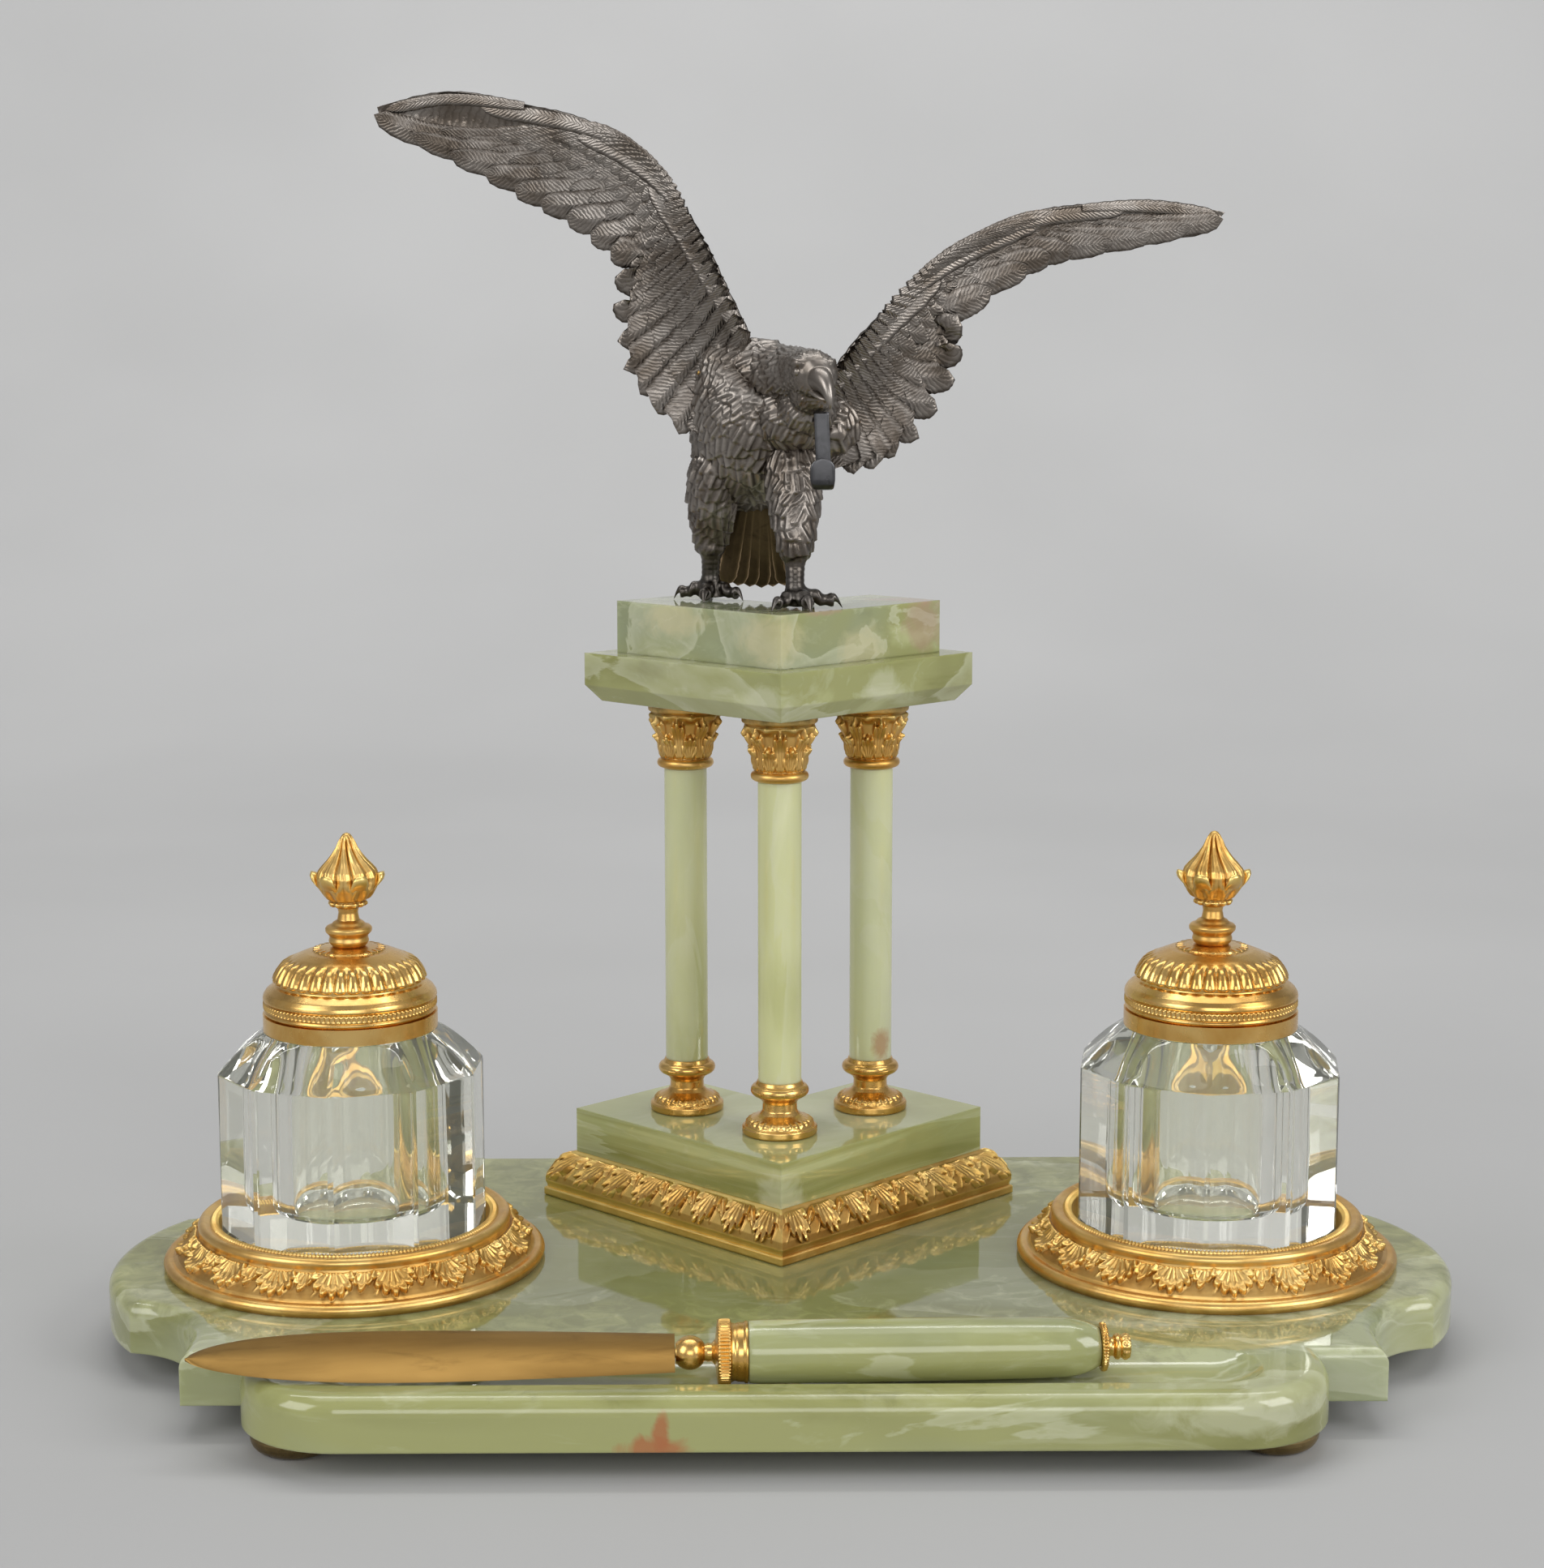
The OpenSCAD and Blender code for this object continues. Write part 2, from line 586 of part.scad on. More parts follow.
module top_block() {
  color([0.66, 0.68, 0.5]) difference() {
    translate([0, tower_y, block_z]) linear_extrude(block_h) polygon(arms(-block_in));
    rod_holes(block_z - 1, block_z + 10, 3.4);
    for (s = studs) translate([s[0], tower_y + s[1], block_z - 1]) {
      cylinder(r = stud_r + hole_gap, h = block_h + 2, $fn = fine);
      cylinder(r = 3.6, h = 5, $fn = fine);
    }
  }
}

// Eagle

// shape points of the wing edges in the X-Z plane from root to tip, leading edge and trailing edge
left_lead = [[-9, 79], [-15, 92.5], [-20.5, 105], [-26, 114.5], [-34, 125], [-44, 133.5], [-58, 140.5],
  [-76, 145], [-97, 148], [-119, 143]];
left_trail = [[-22, 48], [-35, 55], [-42, 66], [-45, 80], [-44.5, 96], [-53, 105.5], [-66, 113.5],
  [-80, 121.5], [-98, 130.5], [-118, 141]];
right_lead = [[12, 62], [19, 72.5], [26, 81.5], [38, 93], [51, 102.5], [71, 111.5], [87, 115], [111, 116.5], [134, 113]];
right_trail = [[18, 40], [29, 41], [39, 50], [49, 66], [51, 82], [72, 96.5], [86, 101.5], [110, 106], [131.5, 111]];

// depth of the wing at distance x from the body middle
function sweep(x) = -20 + wing_sweep * abs(x - 3) / 120;
// notch between feather tips at t along the wing
function notch(t) = feather_dip * (1 - abs(sin(180 * feather_count * t))) * min(1, 12 * t) * (1 - pow(t, 6));

// closed section of the wing at t from root to tip
function wing_ring(lead, trail, t) = let (
    a = through(lead, t), b0 = through(trail, t), d = b0 - a, l = norm(d),
    b = a + d * (1 - notch(t) / max(l, 8)), m = 6,
    front = [for (i = [0:m]) let (u = i / m, p = a + (b - a) * u,
      h = (wing_t * (1 - 0.62 * u) * (1 - 0.45 * t)) / 2) [p, u, h]])
  concat([for (f = front) [f[0][0], sweep(f[0][0]) + wing_camber * sin(180 * f[1]) * min(1, l / 20) - f[2], f[0][1]]],
    [for (i = [m:-1:0]) let (f = front[i])
      [f[0][0], sweep(f[0][0]) + wing_camber * sin(180 * f[1]) * min(1, l / 20) + f[2], f[0][1]]]);

module wing(lead, trail, flip) {
  n = 44;
  rings = [for (i = [0:n]) wing_ring(lead, trail, i / n)];
  skin(flip ? [for (r = rings) [for (j = [len(r) - 1:-1:0]) r[j]]] : rings);
}

// dowel through a wing seam, set square to the seam line
module dowel(lead, trail, r, l) {
  mid = (lead[0] + trail[0]) / 2;
  d = lead[0] - trail[0];
  translate([mid[0], sweep(mid[0]) + wing_camber, mid[1]]) rotate([0, 90 - atan2(d[1], d[0]), 0])
    rotate([0, 90, 0]) translate([0, 0, -l / 2]) cylinder(r = r, h = l, $fn = 32);
}

module perch() { translate([0, tower_y, perch_z]) children(); }

// block that leaves the flat seam where a wing meets the shoulder
module seam_cut(lead, trail, side) {
  d = lead[0] - trail[0];
  translate([trail[0][0], -27, trail[0][1]]) rotate([0, 90 - atan2(d[1], d[0]), 0])
    translate([side > 0 ? 0 : -40, 0, -3]) cube([40, 60, norm(d) + 26]);
}

// toe lying on the block from a to b
module toe(a, b, r) {
  dir = atan2(b[1] - a[1], b[0] - a[0]);
  skin([for (t = [0, 0.2, 0.4, 0.6, 0.75, 0.9, 1]) let (p = a + (b - a) * t,
    k = t < 0.6 ? 1 - 0.25 * t + 0.12 * sin(900 * t) : 0.8 - 1.5 * (t - 0.6))
    wheel([p[0], p[1], r * k + 0.05], r * k, dir)]);
}

module leg(x, y) {
  skin(turned([oval([x[0], y[0], 46], 6, 8, 0), oval([x[1], y[1], 40], 7.6, 9, 0), oval([x[2], y[2], 31], 7.4, 8.6, -8),
    oval([x[3], y[3], 22], 6, 7, -10), oval([x[4], y[4], 16.5], 4.6, 4.8, -6), oval([x[4], y[4], 15.6], 3, 3.2, 0),
    oval([x[5], y[5], 8], 2.6, 2.8, 0), oval([x[5], y[5], 4], 3.4, 3.6, 0), oval([x[5], y[5], 0], 3.8, 4, 0)]));
}

module eagle_solid() {
  skin([oval([-7, 5, 21], 6, 5, 12), oval([-7, 2, 26], 12, 9, 8), oval([-6.5, -3, 34], 16, 13, 4),
    oval([-5.5, -6.5, 43], 19, 15, 0, 0.1), oval([-4.5, -8, 52], 19.8, 16, 0, 0.22), oval([-3.5, -9, 59.5], 19, 15, 5, 0.4),
    oval([-3, -11, 64.5], 16.5, 12, 24, 0.6), oval([-1.5, -15.5, 66.5], 13, 9.6, 48, 0.5),
    oval([2, -22, 66], 10, 8.2, 70, 0.2), oval([5, -28, 66], 8.4, 7.6, 84, 0.05), oval([7.2, -33, 66.2], 7.6, 7, 90),
    oval([8.8, -38, 66], 7.2, 6.6, 96), oval([10.4, -42.5, 65], 5.6, 5.4, 104), oval([11.6, -45.6, 63.4], 3.6, 4, 112),
    oval([12.8, -48.2, 61.4], 2.2, 2.8, 126), oval([13.6, -49.2, 59], 1.3, 1.8, 150),
    oval([13.8, -49, 57], 0.5, 0.6, 170)]);
  leg([3.4, 4, 4.2, 4.4, 4.4, 4.4], [-15, -18, -21, -24, -26, -27.5]);
  leg([-16, -17.5, -19, -19.5, -19.8, -20], [-6, -5.5, -4, -2, 0.5, 2]);
  toe([4.4, -29], [-2.4, -37], 2.3);
  toe([5.6, -29], [8.6, -36.5], 2.4);
  toe([6, -28], [18, -25.5], 2.4);
  toe([5, -26.5], [10, -17.5], 2.7);
  toe([-20.4, 1], [-22, -9], 2.3);
  toe([-18.6, 2], [-10.4, -3.5], 2.3);
  toe([-21.6, 2], [-31, 4.5], 2.3);
  toe([-20.2, 3], [-22, 12], 2.7);
  skin(turned([for (t = [0:0.125:1])
    oval([-5, 3 + 13 * t, 30 - 27 * t], 8 + 4.6 * sqrt(t), 5 - 3.2 * t, 70 - 12 * t)]));
}

module eagle_body() {
  color([0.34, 0.32, 0.3]) perch() difference() {
    eagle_solid();
    seam_cut(left_lead, left_trail, -1);
    seam_cut(right_lead, right_trail, 1);
    dowel(left_lead, left_trail, 1.1, 18);
    dowel(right_lead, right_trail, 1.1, 18);
    for (s = studs) translate([s[0], s[1], -1]) cylinder(r = stud_r + 0.1, h = s[2] + 1.1, $fn = 32);
    translate([12, -30, 52]) rotate([-90, 0, 0]) cylinder(r = 1.1, h = 14, $fn = 32);
  }
}

module eagle_left_wing() {
  color([0.36, 0.34, 0.31]) perch() difference() {
    wing(left_lead, left_trail, false);
    dowel(left_lead, left_trail, 1.1, 18);
  }
}

module eagle_right_wing() {
  color([0.36, 0.34, 0.31]) perch() difference() {
    wing(right_lead, right_trail, true);
    dowel(right_lead, right_trail, 1.1, 18);
  }
}

module wing_dowels() {
  color([0.7, 0.52, 0.22]) perch() {
    dowel(left_lead, left_trail, 1, 17);
    dowel(right_lead, right_trail, 1, 17);
  }
}

module eagle_studs() {
  color([0.55, 0.55, 0.55]) for (s = studs) translate([s[0], tower_y + s[1], block_z + 0.5])
    cylinder(r = stud_r, h = block_h - 0.5 + s[2], $fn = 32);
}

module stud_nuts() {
  color([0.55, 0.55, 0.5]) for (s = studs) translate([s[0], tower_y + s[1], block_z + 1.4]) difference() {
    cylinder(r = 3.1, h = 2.6, $fn = 6);
    translate([0, 0, -1]) cylinder(r = stud_r, h = 5, $fn = 32);
  }
}

// bent strap that hangs under the beak and turns up into a tab
module watch_hook() {
  color([0.25, 0.25, 0.26]) perch() translate([12, 0, 0]) {
    rotate([90, 0, 90]) translate([0, 0, -hook_w / 2]) linear_extrude(hook_w)
      polygon(concat([[-34, 56], [-34, 39]], bend([-37, 37.2], 3, 0, -180, 10), [[-40, 39]],
        [[-40 + hook_t, 39]], bend([-37, 37.2], 3 - hook_t, -180, 0, 10), [[-34 - hook_t, 39], [-34 - hook_t, 56]]));
    translate([-3.6, -40, 37]) cube([7.2, hook_t, 6.3]);
    translate([0, -35, 52]) rotate([-90, 0, 0]) cylinder(r = 1, h = 16, $fn = 32);
  }
}

// Paper knife, built along X with its axis through the origin

module knife_at() { translate([0, -trough_y, knife_z]) rotate([0, 0, knife_turn]) children(); }

// half width of the blade at t from heel to tip, upper and lower edge
function blade_up(t) = (blade_w / 2) * (0.72 + 0.28 * sin(min(90, 120 * t))) * pow(max(0, 1 - pow(t, 7)), 0.6);
function blade_low(t) = (blade_w / 2) * (0.72 + 0.28 * sin(min(90, 120 * t))) * pow(max(0, 1 - pow(t, 5)), 0.7);

module knife_blade() {
  n = 24;
  color([0.6, 0.47, 0.25]) knife_at() rotate([blade_tilt, 0, 0]) {
    skin(turned([for (i = [0:n]) let (t = i / n, x = heel_x - blade_l * t, e = 0.35, h = blade_t / 2 * (1 - 0.6 * pow(t, 4)),
        u = max(blade_up(t), 0.5), d = max(blade_low(t), 0.5))
      [[x, -d, -e], [x, 0, -h], [x, u, -e], [x, u, e], [x, 0, h], [x, -d, e]]]));
    translate([heel_x - 1, 0, 0]) rotate([0, 90, 0]) cylinder(r = 1.2, h = handle_l + 18.4, $fn = fine);
  }
}

module knife_ferrule() {
  color([0.76, 0.58, 0.26]) knife_at() translate([heel_x, 0, 0]) difference() {
    rotate([0, 90, 0]) rotate_extrude($fn = fine) polygon(concat([[0, 0]],
      bend([0, 3.8], 4.3, -55, 62, 12), [[2.3, 8.4], [2.3, 9.4], [3.4, 10.3], [6.6, 10.6], [mill_r, 11],
      [mill_r, 14], [7.4, 14.3], [7.4, 17.4], [7.8, 17.8], [7.8, 18.4], [0, 18.4]]));
    translate([-1, 0, 0]) rotate([0, 90, 0]) cylinder(r = 1.35, h = 30, $fn = fine);
    rotate([blade_tilt, 0, 0]) translate([-1, -9, -blade_t / 2 - 0.1]) cube([1.2, 18, blade_t + 0.2]);
  }
}

module knife_handle() {
  color([0.62, 0.65, 0.45]) knife_at() translate([heel_x + 18.4, 0, 0]) rotate([0, 90, 0]) difference() {
    cylinder(r1 = handle_d / 2, r2 = handle_d / 2 - 0.4, h = handle_l, $fn = fine);
    translate([0, 0, -1]) cylinder(r = 1.35, h = handle_l + 2, $fn = fine);
  }
}

module knife_button() {
  color([0.76, 0.58, 0.26]) knife_at() translate([heel_x + 18.4 + handle_l, 0, 0]) rotate([0, 90, 0])
    rotate_extrude($fn = fine) polygon([[0, 0], [5.8, 0], [6.2, 0.4], [6.2, 1.5], [5.6, 1.9], [2.6, 2.2], [2.4, 3.4],
      [3.2, 4], [3.3, 4.8], [2.7, 5.4], [3.2, 5.9], [3.4, 6.7], [3.1, 7.5], [2, 7.9], [0, 8]]);
}

base_slab();
foot_front_left();
foot_front_right();
foot_back_left();
foot_back_right();
foot_screws();
left_ring();
right_ring();
ring_screws();
left_bottle();
right_bottle();
left_collar();
right_collar();
left_hinge_pin();
right_hinge_pin();
left_lid();
right_lid();
left_finial();
right_finial();
plinth_moulding();
plinth();
column_base_left();
column_base_right();
column_base_front();
column_shaft_left();
column_shaft_right();
column_shaft_front();
capital_left();
capital_right();
capital_front();
tie_rods();
tie_rod_nuts();
upper_slab();
top_block();
eagle_body();
eagle_left_wing();
eagle_right_wing();
wing_dowels();
eagle_studs();
stud_nuts();
watch_hook();
knife_blade();
knife_ferrule();
knife_handle();
knife_button();
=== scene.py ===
import math

import bpy
import numpy as np
from mathutils import Matrix, Vector


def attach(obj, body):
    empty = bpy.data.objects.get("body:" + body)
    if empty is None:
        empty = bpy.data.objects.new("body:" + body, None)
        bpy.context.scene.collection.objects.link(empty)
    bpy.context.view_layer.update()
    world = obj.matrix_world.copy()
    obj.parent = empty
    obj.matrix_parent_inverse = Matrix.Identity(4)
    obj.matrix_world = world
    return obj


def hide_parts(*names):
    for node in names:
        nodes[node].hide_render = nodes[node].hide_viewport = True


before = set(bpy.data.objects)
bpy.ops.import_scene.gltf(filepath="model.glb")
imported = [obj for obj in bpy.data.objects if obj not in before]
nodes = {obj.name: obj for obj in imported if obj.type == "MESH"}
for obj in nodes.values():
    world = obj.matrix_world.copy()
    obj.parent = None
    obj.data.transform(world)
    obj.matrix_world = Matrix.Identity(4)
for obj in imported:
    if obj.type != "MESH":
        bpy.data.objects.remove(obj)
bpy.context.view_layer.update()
mm = 0.001
scene = bpy.context.scene
print("frame loaded,", len(nodes), "nodes")

# Sizes of the stand that several pieces share, in mm
stand = {"top": 22.0, "wellX": 120.4, "wellY": 4.0, "towerY": 64.4, "rimZ": 93.5, "hingeBack": 27.6,
         "perch": 202.9, "plinthTop": 49.0, "capitalZ": 153.3, "columnX": 27.683, "sideCorner": 61.2, "armWidth": 47.4, "back": 108.0}


# Mesh helpers

def gridFaces(rows, columns, aroundRows=False, aroundColumns=False):
    i, j = np.meshgrid(np.arange(rows if aroundRows else rows - 1),
                       np.arange(columns if aroundColumns else columns - 1), indexing="ij")
    i, j = i.ravel(), j.ravel()
    up, over = (i + 1) % rows, (j + 1) % columns
    return np.stack([i * columns + j, i * columns + over, up * columns + over, up * columns + j], 1)


def makePiece(name, points, faces, material, body, replaced=(), sharp=None, flip=False):
    points = np.asarray(points, float).reshape(-1, 3) * mm
    faces = [list(map(int, f)) for f in faces]
    if flip:
        faces = [f[::-1] for f in faces]
    mesh = bpy.data.meshes.new(name)
    mesh.from_pydata(points.tolist(), [], faces)
    mesh.materials.append(material)
    mesh.shade_smooth()
    if sharp is not None:
        mesh.set_sharp_from_angle(angle=math.radians(sharp))
    mesh.validate()
    piece = bpy.data.objects.new(name, mesh)
    scene.collection.objects.link(piece)
    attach(piece, body)
    if replaced:
        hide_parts(*replaced)
    return piece


def joined(parts):
    # several (points, faces) as one, for a piece made of more than one shell
    points, faces, base = [], [], 0
    for p, f in parts:
        p = np.asarray(p, float).reshape(-1, 3)
        points.append(p)
        faces += [[int(v) + base for v in face] for face in f]
        base += len(p)
    return np.vstack(points), faces


def arc(x, z, radius, a0, a1, n=8):
    return [(x + radius * math.cos(math.radians(a0 + (a1 - a0) * k / n)),
             z + radius * math.sin(math.radians(a0 + (a1 - a0) * k / n))) for k in range(n + 1)]


def refined(profile, step, closed=True):
    # profile points with none further apart than step
    pts = [np.array(p, float) for p in profile]
    if closed:
        pts.append(pts[0])
    out = []
    for a, b in zip(pts[:-1], pts[1:]):
        n = max(1, int(math.ceil(np.linalg.norm(b - a) / step)))
        out += [a + (b - a) * k / n for k in range(n)]
    if not closed:
        out.append(pts[-1])
    return np.array(out)


def turnedShape(profile, around, relief=None, closed=True):
    # surface turned about Z from (radius, height) points; relief(angle, radius, height) pushes it outwards
    profile = np.asarray(profile, float)
    ring = np.roll(profile, -1, 0) - np.roll(profile, 1, 0)
    if not closed:
        ring[0], ring[-1] = profile[1] - profile[0], profile[-1] - profile[-2]
    normal = np.stack([ring[:, 1], -ring[:, 0]], 1)
    normal /= np.maximum(np.linalg.norm(normal, axis=1), 1e-9)[:, None]
    angle = np.arange(around) * 2 * math.pi / around
    a, r = np.meshgrid(angle, profile[:, 0])
    z = np.repeat(profile[:, 1][:, None], around, 1)
    if relief is not None:
        push = relief(a, r, z)
        r = r + push * normal[:, :1]
        z = z + push * normal[:, 1:]
    points = np.stack([r * np.cos(a), r * np.sin(a), z], 2)
    return points, gridFaces(len(profile), around, aroundRows=closed, aroundColumns=True)


def reliefOn(profile, around, relief):
    # the same relief as a value at each point, for the duller ground and painted shade between the leaves
    profile = np.asarray(profile, float)
    a, r = np.meshgrid(np.arange(around) * 2 * math.pi / around, profile[:, 0])
    return relief(a, r, np.repeat(profile[:, 1][:, None], around, 1)).ravel()


def storeRelief(piece, values):
    layer = piece.data.attributes.new("relief", "FLOAT", "POINT")
    layer.data.foreach_set("value", np.asarray(values, np.float32).ravel())


def placed(shape, x=0.0, y=0.0, z=0.0, turn=0.0, tip=None):
    points, faces = shape
    points = np.asarray(points, float).reshape(-1, 3)
    matrix = Matrix.Translation((x, y, z)) @ Matrix.Rotation(math.radians(turn), 4, "Z")
    if tip:
        matrix = matrix @ tip
    m = np.array(matrix)
    return points @ m[:3, :3].T + m[:3, 3], faces


def smoothStep(x):
    x = np.clip(x, 0, 1)
    return x * x * (3 - 2 * x)


def leafFan(across, along, fingers=5, spread=1.15):
    # height 0 to 1 of a carved leaf with rounded fingers; across -1 to 1, along 0 at the root to 1 at the tip
    angle = np.arctan2(across * 1.05, along + 0.16)
    reach = np.hypot(across * 0.9, along)
    gap = 2 * spread / fingers
    lobe = np.abs(np.cos(math.pi * angle / gap * (1 if fingers % 2 else 1)))
    edge = (1.0 - 0.30 * (angle / spread) ** 2) * (0.78 + 0.22 * np.sqrt(lobe))
    inside = smoothStep((edge - reach) / 0.10) * smoothStep((spread - np.abs(angle)) / 0.12)
    rib = 0.5 + 0.5 * lobe ** 0.8
    curl = 0.35 * np.exp(-((reach / np.maximum(edge, 0.05) - 0.80) / 0.16) ** 2)
    return inside * (rib * (0.45 + 0.35 * np.clip(reach, 0, 1)) + curl)


# Node helpers

def newMaterial(name):
    material = bpy.data.materials.new(name)
    material.use_nodes = True
    tree = material.node_tree
    shader = tree.nodes["Principled BSDF"]
    return material, tree, shader


def addNode(tree, kind, inputs=None, **settings):
    node = tree.nodes.new(kind)
    for key, value in settings.items():
        setattr(node, key, value)
    for key, value in (inputs or {}).items():
        if isinstance(value, bpy.types.NodeSocket):
            tree.links.new(value, node.inputs[key])
        else:
            node.inputs[key].default_value = value
    return node


def ramp(tree, factor, stops, easing="EASE"):
    node = addNode(tree, "ShaderNodeValToRGB", {"Fac": factor})
    node.color_ramp.interpolation = easing
    while len(node.color_ramp.elements) < len(stops):
        node.color_ramp.elements.new(0.5)
    for element, (place, colour) in zip(node.color_ramp.elements, stops):
        element.position = place
        element.color = (*colour, 1) if len(colour) == 3 else colour
    return node.outputs["Color"]


def mixed(tree, factor, a, b, blend="MIX"):
    node = addNode(tree, "ShaderNodeMix", data_type="RGBA", blend_type=blend)
    for index, value in ((0, factor), (6, a), (7, b)):
        if isinstance(value, bpy.types.NodeSocket):
            tree.links.new(value, node.inputs[index])
        elif index == 0:
            node.inputs[0].default_value = value
        else:
            node.inputs[index].default_value = (*value, 1)
    return node.outputs[2]


def maths(tree, operation, a, b=None, clamp=False):
    node = addNode(tree, "ShaderNodeMath", operation=operation, use_clamp=clamp)
    for index, value in ((0, a), (1, b)):
        if value is None:
            continue
        if isinstance(value, bpy.types.NodeSocket):
            tree.links.new(value, node.inputs[index])
        else:
            node.inputs[index].default_value = value
    return node.outputs[0]


def objectPlace(tree, scale=(1, 1, 1), move=(0, 0, 0), turn=(0, 0, 0)):
    source = addNode(tree, "ShaderNodeTexCoord")
    mapping = addNode(tree, "ShaderNodeMapping", {"Vector": source.outputs["Object"], "Location": move,
                                                  "Rotation": turn, "Scale": scale})
    return mapping.outputs["Vector"]


def noise(tree, place, scale, detail=4.0, rough=0.5, warp=0.0, out="Fac"):
    return addNode(tree, "ShaderNodeTexNoise", {"Vector": place, "Scale": scale, "Detail": detail,
                                                "Roughness": rough, "Distortion": warp}).outputs[out]


def srgb(r, g, b):
    return tuple((c / 255 / 12.92) if c / 255 <= 0.04045 else ((c / 255 + 0.055) / 1.055) ** 2.4 for c in (r, g, b))


# Materials

# tones of the stone; shade is not the stone's colour but a painted shade
onyxTones = {
    "deep": srgb(108, 108, 56), "olive": srgb(134, 135, 80), "green": srgb(158, 160, 106), "pale": srgb(184, 187, 138),
    "cool": srgb(152, 160, 132), "milk": srgb(210, 212, 186), "rust": srgb(166, 102, 60), "blush": srgb(176, 142, 126), "shade": srgb(92, 94, 54), "cream": srgb(208, 198, 156)}
onyxLight = dict(onyxTones, cool=srgb(200, 204, 168), deep=srgb(156, 156, 96), olive=srgb(182, 184, 128), green=srgb(204, 206, 156), pale=srgb(220, 220, 180))


